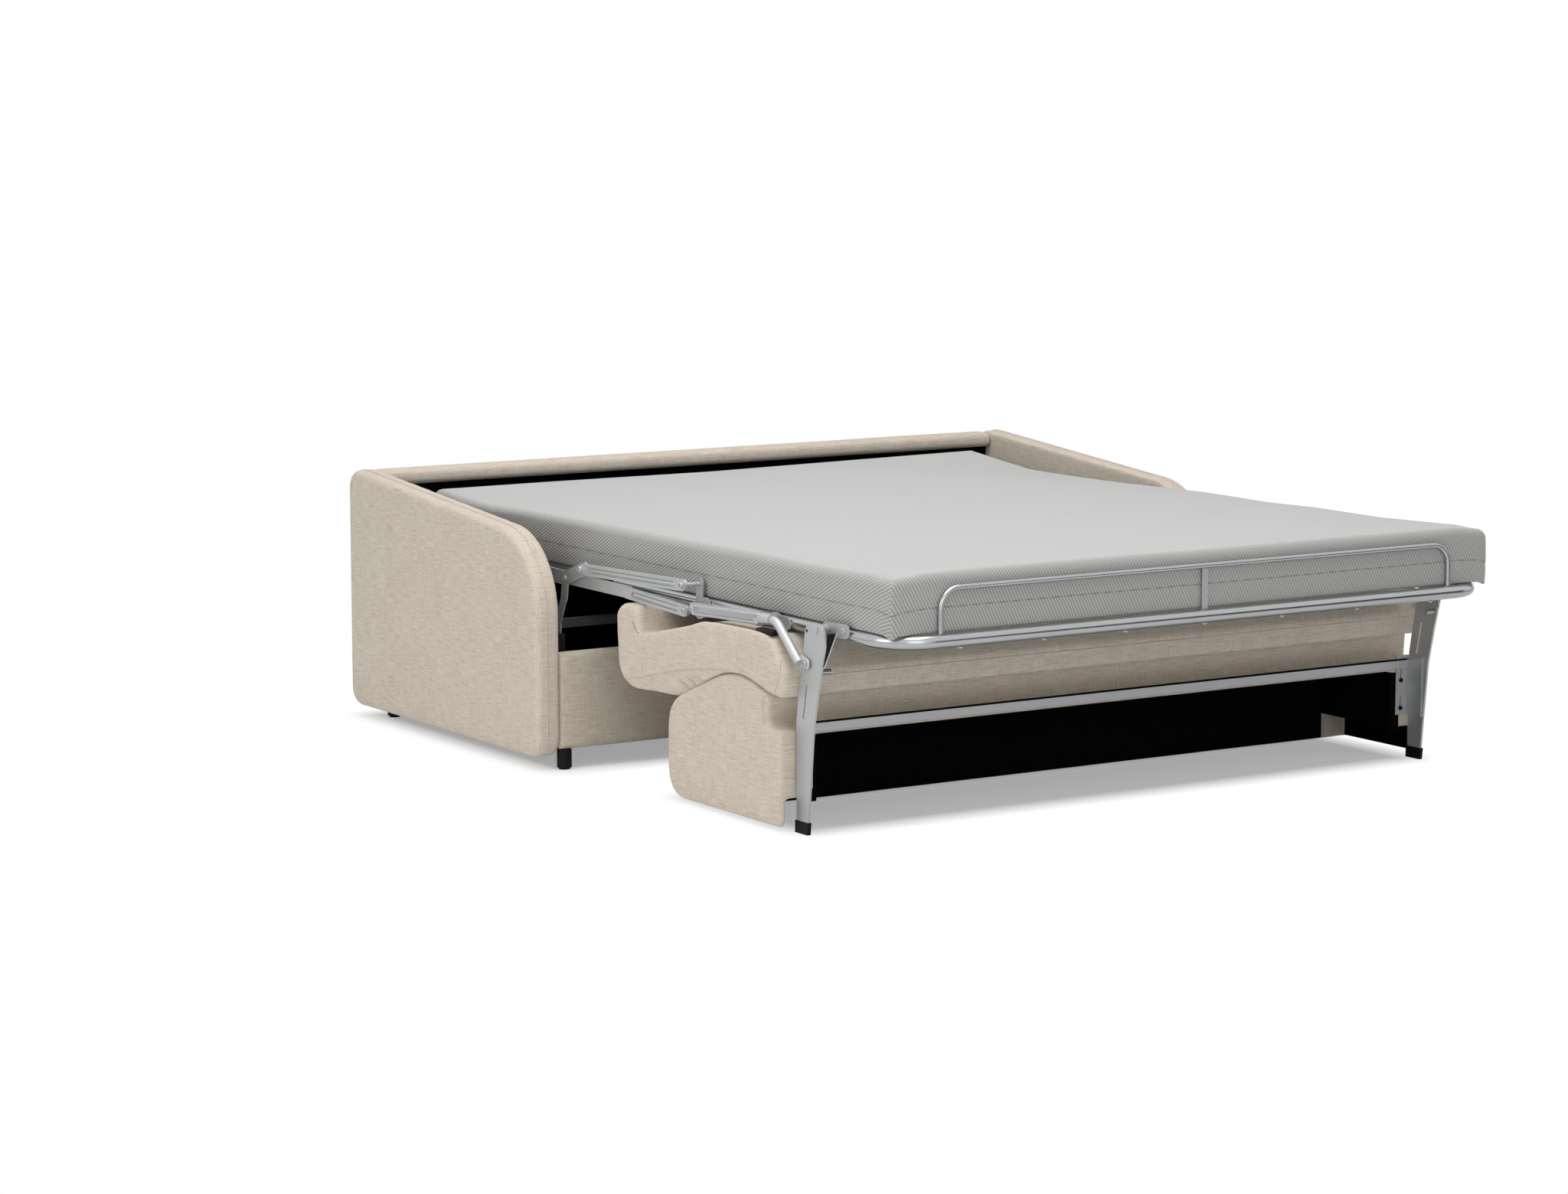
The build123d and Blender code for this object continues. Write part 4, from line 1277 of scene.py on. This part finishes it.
    def _settle(self, obj: bpy.types.Object) -> None:
        """Lets the long edges sag, the corners droop past the bent tube, and the top rise and fall a little.

        Args:
            obj: The slab.
        """
        places = corners_of(obj)
        x, y, z = places.T
        high = np.clip((z - self.bottom) / self.thick, 0.0, 1.0)
        near, far = (np.interp(y, *np.array(table).T) for table in (self.near_sag, self.far_sag))
        edges = np.where(x < 0, near, far) * smoothstep(0.40, 0.80, np.abs(x))
        edges += np.interp(x, *np.array(self.head_drop).T) * smoothstep(0.45, 0.93, y)
        edges += self.foot_sag * smoothstep(0.70, 0.79, np.abs(x)) * smoothstep(0.94, 1.03, -y)
        waves = tuft_noise(places * np.array([1.0, 1.0, 0.0]), 2.2, 5.0) * self.wave
        out = np.hypot(np.abs(x) - self.tube_bend[0], y - self.tube_bend[1])
        corner = smoothstep(0.112, 0.132, out) * (np.abs(x) > self.tube_bend[0]) * (y < self.tube_bend[1])
        over_tube = np.maximum(smoothstep(0.755, 0.785, np.abs(x)), smoothstep(1.0, 1.03, -y))
        droop = self.corner_droop * corner * (1 - 0.8 * high) + self.rim_droop * over_tube * (1 - high)
        wider = self.foot_spread * np.clip(x / self.half_width, 0.0, 1.0) ** 2 * smoothstep(0.6, 1.0, -y)
        move_to(obj, places + np.stack([wider, 0 * x, high * (waves - edges) - droop], 1))

    def build(self) -> None:
        """Builds the slab and parts it into its rear and front pieces."""
        slab = self._slab()
        self._settle(slab)
        parts = (("mattress_rear", False, ["mattress_head", "mattress_fold", "mattress_middle"]),
                 ("mattress_front", True, ["mattress_foot"]))
        for name, front, nodes in parts:
            obj = own_copy(slab)
            obj.name = obj.data.name = name
            edit_whole(obj)
            bpy.ops.mesh.bisect(plane_co=(0, self.parting, 0), plane_no=(0, 1, 0), use_fill=True,
                                clear_inner=not front, clear_outer=front)
            end_edit()
            finish_piece(obj, self.finishes.knit, None, nodes)
            shade_crisp(obj, self.smooth_angle)
            if front:
                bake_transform(obj)
            else:
                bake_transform(obj)
        bpy.data.objects.remove(slab)


@dataclass
class Metalwork:
    """The finishes of the folding frame and of the other solids that show as they are."""

    finishes: Finishes
    dressed: Mapping[str, Sequence[str]] = field(default_factory=lambda: {
        "lining": ("back_lining", "backrest_lining", "base_board"),
        "belt": ("head_webbing", "middle_webbing", "foot_webbing"),
        "timber": ("arm_rail_left", "arm_rail_right"),
        "plastic": ("feet", "leg_cap_left", "leg_cap_right"),
        "tube_steel": ("foot_tube", "guard_rail", "middle_tube_left", "middle_tube_right", "middle_cross_tubes",
                       "stop_pin_left", "stop_pin_right"),
        # The base cross tube takes the shade-darkened steel: painted shade.
        "shade_darkened_steel": ("base_cross_tube",),
    })
    smooth_angle: float = math.radians(32)

    def build(self, nodes: Mapping[str, bpy.types.Object]) -> None:
        """Dresses the solids that show as they are.

        Args:
            nodes: Every solid by name.
        """
        finish_of = {node: finish for finish, names in self.dressed.items() for node in names}
        for name, obj in nodes.items():
            if obj.hide_render:
                continue
            obj.data.materials.clear()
            obj.data.materials.append(getattr(self.finishes, finish_of.get(name, "steel")))
            shade_crisp(obj, self.smooth_angle)


@dataclass(frozen=True)
class Fastener:
    """One rivet that is set on a solid on both sides of the bed."""

    body: Body
    node: str
    y: float
    z: float
    radius: float


@dataclass(frozen=True)
class Bead:
    """One long rounded bead, pressed into a bar's outer face on both sides of the bed."""

    name: str
    node: str
    start: Point2
    end: Point2
    radius: float


@dataclass
class Fittings:
    """The small hardware: rivets, screws, hooks, rod eyes, sleeves and bars, buffers, black wedges of painted shade in
    the gussets, and beads.
    """

    finishes: Finishes
    nodes: Mapping[str, bpy.types.Object]
    rivets: Sequence[Fastener] = (
        Fastener(Body.BASE, "fixed_pins", 0.117, 0.459, 0.0075),
        Fastener(Body.BASE, "fixed_pins", 0.205, 0.429, 0.0060),
        Fastener(Body.MIDDLE, "moving_pins", -0.325, 0.473, 0.0075),
        Fastener(Body.MIDDLE, "lower_channel", -0.323, 0.417, 0.0070),
        Fastener(Body.MIDDLE, "moving_pins", -0.349, 0.425, 0.0065),
        Fastener(Body.REAR_BARS, "rear_bar", -0.076, 0.428, 0.0060),
        Fastener(Body.REAR_BARS, "rear_bar", 0.010, 0.429, 0.0045),
        Fastener(Body.BACK, "leg", -0.830, 0.438, 0.0055),
        Fastener(Body.FOOT, "leg_bracket", -0.899, 0.441, 0.0060),
    )
    ray_start: float = 0.905
    ray_steps: Point3 = (0.0, -0.009, 0.009)
    rivet_sink: float = 0.0005
    leg_hole: Point2 = (-0.798, 0.431)
    leg_hole_radius: float = 0.0035
    leg_hole_sink: float = 0.0012
    screws: Sequence[float] = (0.1806, 0.1156)
    screw_x: float = 0.8145
    screw_y: float = -0.7565
    screw_radius: float = 0.0050
    hooks: Sequence[float] = (-0.633, -0.422, -0.211, 0.0, 0.211, 0.422, 0.633)
    hook_y: float = -1.055
    hook_z: float = 0.4139
    hook_radius: float = 0.0055
    rod_x: float = 0.8525
    rod_start: Point2 = (-0.349, 0.425)
    rod_knee: Point2 = (-0.697, 0.441)
    sleeve_share: float = 0.90
    sleeve_radius: float = 0.0125
    sleeve_length: float = 0.040
    sleeve_rim: float = 0.0014
    sleeve_dish: float = 0.96
    bar_share: float = 0.455
    bar_size: Point3 = (0.0212, 0.268, 0.0235)
    bar_rim: float = 0.0056
    bar_hollow: float = 0.0075
    buffer_place: Point3 = (0.862, FOOT_LINE + 0.378, 0.4155)
    buffer_size: Point3 = (0.020, 0.062, 0.010)
    buffer_rim: float = 0.003
    buffer_rise: float = 0.0012
    shade_wedge_low: Point3 = (0.8355, -0.8570, 0.360)
    shade_wedge_high: Point3 = (0.8355, -0.8708, 0.432)
    shade_wedge_reach: float = 0.0210
    shade_wedge_thick: float = 0.0040
    gusset_rim: float = 0.0016
    eye_x: float = 0.8452
    eye_start: Point2 = (-0.784, 0.3665)
    eye_end: Point2 = (-0.8025, 0.3625)
    eye_radius: float = 0.0125
    eye_flat: float = 0.28
    eye_sink: float = 0.26
    eye_rivet: float = 0.0062
    bead_flat: float = 0.72
    beads: Sequence[Bead] = (
        Bead("upper_bead", "upper_link", (0.070, 0.4605), (-0.285, 0.4717), 0.0045),
        Bead("lower_bead", "lower_channel", (-0.112, 0.4264), (-0.292, 0.4184), 0.0050),
    )

    def build(self) -> None:
        """Builds every fitting and sets it on what carries it."""
        head = self._rivet_head()
        for body in Body:
            self._set_rivets(head, body)
        self._set_screws(head)
        self._set_hooks(head)
        for side in SIDES:
            self._rod_eye(head, side)
            self._sleeve(side)
            self._pressed_bar(side)
            self._buffer(side)
            self._gusset_shade_wedge(side)
            for bead in self.beads:
                self._bead(bead, side)
        bpy.data.objects.remove(head)

    @staticmethod
    def _rivet_head() -> bpy.types.Object:
        """Models one hollow rivet head of radius 1 that looks along +X, with its underside at 0.

        Returns:
            The head, to be copied.
        """
        bpy.ops.object.select_all(action="DESELECT")
        bpy.ops.mesh.primitive_cylinder_add(vertices=20, radius=1.0, depth=0.5, location=(0.25, 0, 0),
                                            rotation=(0, math.pi / 2, 0))
        head = bpy.context.object
        bpy.ops.object.transform_apply(location=True, rotation=True, scale=True)
        pick_faces(head, lambda centre, normal: normal.x > FACING)
        slope, rise, ring, lip, bore = 0.16, 0.12, 0.30, 0.06, 0.42
        bpy.ops.mesh.inset(thickness=slope)
        bpy.ops.transform.translate(value=(rise, 0, 0))
        bpy.ops.mesh.inset(thickness=ring)
        bpy.ops.mesh.inset(thickness=lip)
        bpy.ops.mesh.extrude_region_move(TRANSFORM_OT_translate={"value": (-bore, 0, 0)})
        end_edit()
        round_edges(head, 0.06, 2)
        return head

    def _outer_face(self, node: str, side: float, y: float, z: float) -> float:
        """Where a solid ends on its outer side.

        Args:
            node: The solid's name, or its name without the side.
            side: -1 for the left, 1 for the right.
            y: The place along the bed.
            z: The place's height.

        Returns:
            The outermost x of the solid there.
        """
        name = node if node in self.nodes else f"{node}_{SIDES[side]}"
        tree = BVHTree.FromObject(self.nodes[name], bpy.context.evaluated_depsgraph_get())
        found = []
        for beside in self.ray_steps:
            hit, _, _, _ = tree.ray_cast(Vector((side * self.ray_start, y + beside, z)), Vector((-side, 0, 0)))
            if hit is not None:
                found.append(hit.x)
        return max(found, key=abs)

    @staticmethod
    def _outward(side: float) -> Matrix:
        """The turn that lets +X look away from the bed's middle."""
        return Matrix.Rotation(0.0 if side > 0 else math.pi, 4, "Z")

    @staticmethod
    def _set_head(head: bpy.types.Object, place: Point3, turn: Matrix, radius: float) -> bpy.types.Object:
        """Sets one rivet head.

        Args:
            head: The head of radius 1 to copy.
            place: Where its underside goes.
            turn: The turn that it gets.
            radius: Its radius.

        Returns:
            The copy.
        """
        made = own_copy(head)
        made.data.transform(Matrix.Translation(place) @ turn @ Matrix.Scale(radius, 4))
        return made

    @staticmethod
    def _join(name: str, copies: Sequence[bpy.types.Object], finish: bpy.types.Material, slot: Slot,
              body: Body) -> None:
        """Makes one piece of several copies.

        Args:
            name: The piece's name.
            copies: The copies.
            finish: Its material.
            slot: Not used.
            body: The body that it rides on.
        """
        make_active(copies[0])
        for copy in copies[1:]:
            copy.select_set(True)
        bpy.ops.object.join()
        crisp_piece(bpy.context.view_layer.objects.active, name, finish, body)

    def _set_rivets(self, head: bpy.types.Object, body: Body) -> None:
        """Sets the rivets of one body on both sides.

        Args:
            head: The rivet head to copy.
            body: The body.
        """
        copies = []
        for rivet in (one for one in self.rivets if one.body is body):
            for side in SIDES:
                x = self._outer_face(rivet.node, side, rivet.y, rivet.z) - side * self.rivet_sink
                copies.append(self._set_head(head, (x, rivet.y, rivet.z), self._outward(side), rivet.radius))
        if copies:
            self._join(f"rivets_{body.value}", copies, self.finishes.steel, Slot.STEEL, body)

    def _set_screws(self, head: bpy.types.Object) -> None:
        """Sets the black screws in the keyholes and the dark sockets in the legs.

        Args:
            head: The rivet head to copy.
        """
        copies = []
        to_foot = Matrix.Rotation(-math.pi / 2, 4, "Z")
        for side in SIDES:
            for z in self.screws:
                place = (side * self.screw_x, self.screw_y, z)
                copies.append(self._set_head(head, place, to_foot, self.screw_radius))
            x = self._outer_face("leg", side, *self.leg_hole) - side * self.leg_hole_sink
            copies.append(self._set_head(head, (x, *self.leg_hole), self._outward(side), self.leg_hole_radius))
        self._join("black_screws", copies, self.finishes.plastic, Slot.BLACK_PLASTIC, Body.BACK)

    def _set_hooks(self, head: bpy.types.Object) -> None:
        """Sets the belt hooks' buttons under the foot tube.

        Args:
            head: The rivet head to copy.
        """
        down = Matrix.Rotation(math.pi / 2, 4, "Y")
        copies = [self._set_head(head, (x, self.hook_y, self.hook_z), down, self.hook_radius) for x in self.hooks]
        self._join("belt_hooks", copies, self.finishes.steel, Slot.STEEL, Body.FOOT)

    def _on_rod(self, obj: bpy.types.Object, side: float, share: float) -> None:
        """Lays a piece that was modelled along Y on the rod's straight run.

        Args:
            obj: The piece.
            side: -1 for the left, 1 for the right.
            share: Where on the run its middle lies, from the rod's eye to its bend.
        """
        (y0, z0), (y1, z1) = self.rod_start, self.rod_knee
        tilt = Matrix.Rotation(math.atan2(z0 - z1, y0 - y1), 4, "X")
        place = (side * self.rod_x, y0 + (y1 - y0) * share, z0 + (z1 - z0) * share)
        obj.data.transform(Matrix.Translation(place) @ tilt)

    def _sleeve(self, side: float) -> None:
        """Builds the crimped sleeve where the pressed bar meets the round rod.

        Args:
            side: -1 for the left, 1 for the right.
        """
        bpy.ops.object.select_all(action="DESELECT")
        bpy.ops.mesh.primitive_cylinder_add(vertices=32, radius=self.sleeve_radius, depth=self.sleeve_length,
                                            rotation=(math.pi / 2, 0, 0))
        sleeve = bpy.context.object
        bpy.ops.object.transform_apply(location=True, rotation=True, scale=True)
        pick_faces(sleeve, lambda centre, normal: abs(normal.y) > FACING)
        bpy.ops.mesh.inset(thickness=self.sleeve_rim, use_individual=True)
        bpy.ops.transform.resize(value=(1.0, self.sleeve_dish, 1.0))
        end_edit()
        round_edges(sleeve, 0.0012, 3)
        self._on_rod(sleeve, side, self.sleeve_share)
        crisp_piece(sleeve, f"rod_sleeve_{SIDES[side]}", self.finishes.steel, Body.LEG_RODS)

    def _pressed_bar(self, side: float) -> None:
        """Builds the flattened stretch of the rod, with its long pressed hollow.

        Args:
            side: -1 for the left, 1 for the right.
        """
        bar = box_object(self.bar_size)
        pick_faces(bar, lambda centre, normal: normal.x * side > FACING)
        bpy.ops.mesh.inset(thickness=self.bar_rim)
        bpy.ops.mesh.extrude_region_move(TRANSFORM_OT_translate={"value": (-side * self.bar_hollow, 0, 0)})
        end_edit()
        round_edges(bar, 0.0020, 3)
        self._on_rod(bar, side, self.bar_share)
        crisp_piece(bar, f"rod_bar_{SIDES[side]}", self.finishes.steel, Body.LEG_RODS)

    def _buffer(self, side: float) -> None:
        """Builds the black rubber buffer that lies on the seat under the rod.

        Args:
            side: -1 for the left, 1 for the right.
        """
        x, y, z = self.buffer_place
        pad = box_object(self.buffer_size, (side * x, y, z))
        pick_faces(pad, lambda centre, normal: normal.z > FACING)
        bpy.ops.mesh.inset(thickness=self.buffer_rim)
        bpy.ops.transform.translate(value=(0, 0, self.buffer_rise))
        end_edit()
        round_edges(pad, 0.0015, 2, 0.4)
        crisp_piece(pad, f"seat_buffer_{SIDES[side]}", self.finishes.plastic, Body.BACK)

    def _gusset_shade_wedge(self, side: float) -> None:
        """Builds a black wedge of painted shade in the hollow of the leg's gusset, and the steel rim below it.

        Args:
            side: -1 for the left, 1 for the right.
        """
        low, high = Vector(self.shade_wedge_low), Vector(self.shade_wedge_high)
        corners = [low, high, high - Vector((self.shade_wedge_reach, 0, 0))]
        name = f"gusset_insert_{SIDES[side]}"
        shade_piece = new_object(name, [(side * p.x, p.y, p.z) for p in corners], [(0, 1, 2)])
        extrude_whole(shade_piece, (0, self.shade_wedge_thick, 0))
        bpy.ops.mesh.bevel(offset=0.0005, segments=2, affect="EDGES")
        end_edit()
        crisp_piece(shade_piece, name, self.finishes.plastic, Body.BACK)
        rim = self._capsule(f"gusset_rim_{SIDES[side]}", side, corners[0], corners[2], self.gusset_rim)
        finish_piece(rim, self.finishes.steel, Body.BACK)

    @staticmethod
    def _capsule(name: str, side: float, start: Vector, end: Vector, radius: float) -> bpy.types.Object:
        """Models a round-ended bar between two places.

        Args:
            name: Its name.
            side: -1 for the left, 1 for the right.
            start: Its first end, on the right side.
            end: Its last end, on the right side.
            radius: Its radius.

        Returns:
            The bar.
        """
        first, last = (Vector((side * p.x, p.y, p.z)) for p in (start, end))
        bpy.ops.object.select_all(action="DESELECT")
        bpy.ops.mesh.primitive_uv_sphere_add(segments=20, ring_count=12, radius=radius)
        bar = bpy.context.object
        bar.name = bar.data.name = name
        pick_faces(bar, lambda centre, normal: centre.z > 0)
        bpy.ops.mesh.extrude_region_move(TRANSFORM_OT_translate={"value": (0, 0, (last - first).length)})
        end_edit()
        turn = (last - first).to_track_quat("Z", "Y").to_matrix().to_4x4()
        bar.data.transform(Matrix.Translation(first) @ turn)
        return bar

    @staticmethod
    def _flatten(bar: bpy.types.Object, middle: float, share: float) -> None:
        """Presses a bar flat across the bed.

        Args:
            bar: The bar.
            middle: The place across the bed that stays.
            share: The share of its thickness that is left.
        """
        flat = Matrix.Scale(share, 4, Vector((1, 0, 0)))
        bar.data.transform(Matrix.Translation((middle, 0, 0)) @ flat @ Matrix.Translation((-middle, 0, 0)))

    def _rod_eye(self, head: bpy.types.Object, side: float) -> None:
        """Builds the flattened eye at the rod's end, riveted to the leg.

        Args:
            head: The rivet head to copy.
            side: -1 for the left, 1 for the right.
        """
        name = f"rod_eye_{SIDES[side]}"
        start, end = (Vector((self.eye_x, *place)) for place in (self.eye_start, self.eye_end))
        eye = self._capsule(name, side, start, end, self.eye_radius)
        self._flatten(eye, side * self.eye_x, self.eye_flat)
        place = (side * (self.eye_x + self.eye_radius * self.eye_sink), *self.eye_end)
        rivet = self._set_head(head, place, self._outward(side), self.eye_rivet)
        self._join(name, [eye, rivet], self.finishes.steel, Slot.STEEL, Body.LEG_RODS)

    def _bead(self, bead: Bead, side: float) -> None:
        """Presses one bead into a bar.

        Args:
            bead: The bead.
            side: -1 for the left, 1 for the right.
        """
        x = abs(self._outer_face(bead.node, side, *((a + b) / 2 for a, b in zip(bead.start, bead.end))))
        start, end = (Vector((x, *place)) for place in (bead.start, bead.end))
        bar = self._capsule(f"{bead.name}_{SIDES[side]}", side, start, end, bead.radius)
        self._flatten(bar, side * x, self.bead_flat)
        finish_piece(bar, self.finishes.steel, Body.MIDDLE)


@dataclass
class Studio:
    """A pale floor, soft lights and the camera at the photograph's place."""

    camera_place: Point3 = (-5.3263, -7.7600, 1.6460)
    elevation: float = 7.868
    azimuth: float = -32.465
    lens: float = 92.81
    floor_size: float = 60.0
    floor_glow: float = 0.34
    shadow_boxes: Sequence[Point3] = ((0.895, 0.150, 1.03), (0.800, -0.745, -0.32))
    shadow_reach: float = 0.10
    ambient: float = 0.40
    softboxes: Sequence[tuple[str, Point3, Point3, float, float]] = (
        ("overhead", (-0.8, -0.9, 4.8), (0.0, -0.1, 0.2), 4.2, 172.0),
        ("left_fill", (-5.8, -1.0, 2.6), (0.0, 0.0, 0.3), 3.0, 50.0),
        ("front_fill", (-2.2, -7.0, 2.0), (0.0, -0.6, 0.2), 4.0, 52.0),
    )
    card_place: Point3 = (2.1, -3.5, 0.55)
    card_turn: float = 38.0
    card_width: float = 3.4

    def build(self) -> None:
        """Builds the floor, the world, the lights and the camera."""
        scene = bpy.context.scene
        scene.view_settings.view_transform = "Standard"
        self._floor()
        self._world()
        for lamp in self.softboxes:
            self._softbox(*lamp)
        self._dark_card()
        data = bpy.data.cameras.new("camera")
        data.lens, data.sensor_width, data.clip_end = self.lens, 36.0, 200.0
        camera = bpy.data.objects.new("camera", data)
        camera.location = self.camera_place
        camera.rotation_euler = (math.radians(90 - self.elevation), 0.0, math.radians(self.azimuth))
        scene.collection.objects.link(camera)
        scene.camera = camera

    def _floor(self) -> None:
        """Lays the floor, which turns to plain white far from the object and keeps a pale shadow near it: the shadow
        shows only inside fixed boxes round the object, lightened by a share of painted white glow.
        """
        bpy.ops.object.select_all(action="DESELECT")
        bpy.ops.mesh.primitive_plane_add(size=self.floor_size)
        floor = bpy.context.object
        floor.name = "floor"
        g = Graph.of_material("pale_floor")
        x, y, _ = g.axes(g.object_coords())
        distances = []
        for half, front, rear in self.shadow_boxes:
            beside = g.math("MAXIMUM", x.magnitude() - half, 0.0)
            beyond = g.math("MAXIMUM", g.math("MAXIMUM", front - y, y - rear), 0.0)
            distances.append(g.math("SQRT", beside * beside + beyond * beyond))
        far = (g.math("MINIMUM", *distances) / self.shadow_reach).clamped()
        camera_ray = g.wire(g.node("ShaderNodeLightPath"), "Is Camera Ray")
        # Near the object a share of white glow lightens the real shadow, which is painted light; outside the boxes the
        # floor glows plain white.
        white_share = (self.floor_glow + far * (1.0 - self.floor_glow)) * camera_ray
        plain = g.wire(g.node("ShaderNodeBsdfDiffuse", None, {"Color": (0.93, 0.93, 0.93, 1.0)}))
        white = g.wire(g.node("ShaderNodeEmission", None, {"Color": (1.0, 1.0, 1.0, 1.0), "Strength": 1.0}))
        blend = g.wire(g.node("ShaderNodeMixShader", None, {0: white_share, 1: plain, 2: white}))
        g.node("ShaderNodeOutputMaterial", None, {"Surface": blend})
        floor.data.materials.append(g.material)

    def _dark_card(self) -> None:
        """Stands a dark card beside the camera's view, which gives the tubes their dark line."""
        bpy.ops.object.select_all(action="DESELECT")
        bpy.ops.mesh.primitive_plane_add(size=1.0, location=self.card_place,
                                         rotation=(math.pi / 2, 0.0, math.radians(self.card_turn)))
        card = bpy.context.object
        card.name = "dark_card"
        card.scale = (self.card_width, 1.0, 1.0)
        g = Graph.of_material("dark_card")
        g.surface(Base_Color=(0.012, 0.012, 0.012, 1.0), Roughness=1.0, Specular_IOR_Level=0.0)
        card.data.materials.append(g.material)
        card.visible_camera = False

    def _world(self) -> None:
        """Fills the world with plain light, white where the camera or a reflection sees it."""
        world = bpy.data.worlds.new("studio")
        bpy.context.scene.world = world
        world.use_nodes = True
        g = Graph(world.node_tree)
        path = g.node("ShaderNodeLightPath")
        seen = g.math("MAXIMUM", g.wire(path, "Is Camera Ray"), g.wire(path, "Is Glossy Ray"))
        seen = g.math("MAXIMUM", seen, g.wire(path, "Is Transmission Ray"))
        strength = self.ambient + seen * (1.0 - self.ambient)
        light = g.node("ShaderNodeBackground", None, {"Color": (1.0, 1.0, 1.0, 1.0), "Strength": strength})
        g.node("ShaderNodeOutputWorld", None, {"Surface": g.wire(light)})

    @staticmethod
    def _softbox(name: str, place: Point3, target: Point3, size: float, power: float) -> None:
        """Hangs one square soft light.

        Args:
            name: Its name.
            place: Where it hangs.
            target: What it points at.
            size: Its side.
            power: Its power in watts.
        """
        data = bpy.data.lights.new(name, "AREA")
        data.size, data.energy = size, power
        lamp = bpy.data.objects.new(name, data)
        lamp.location = place
        lamp.rotation_euler = (Vector(target) - Vector(place)).to_track_quat("-Z", "Y").to_euler()
        bpy.context.scene.collection.objects.link(lamp)


def main() -> None:
    """Builds the dressed sofa bed round its solids."""
    logging.basicConfig(level=logging.INFO, format="%(name)s: %(message)s")
    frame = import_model()
    Studio().build()
    finishes = Finishes()
    Base(finishes).build()
    SeatAndBack(finishes).build()
    Mattress(finishes).build()
    Metalwork(finishes).build(frame["nodes"])
    Fittings(finishes, frame["nodes"]).build()


if __name__ == "__main__":
    main()
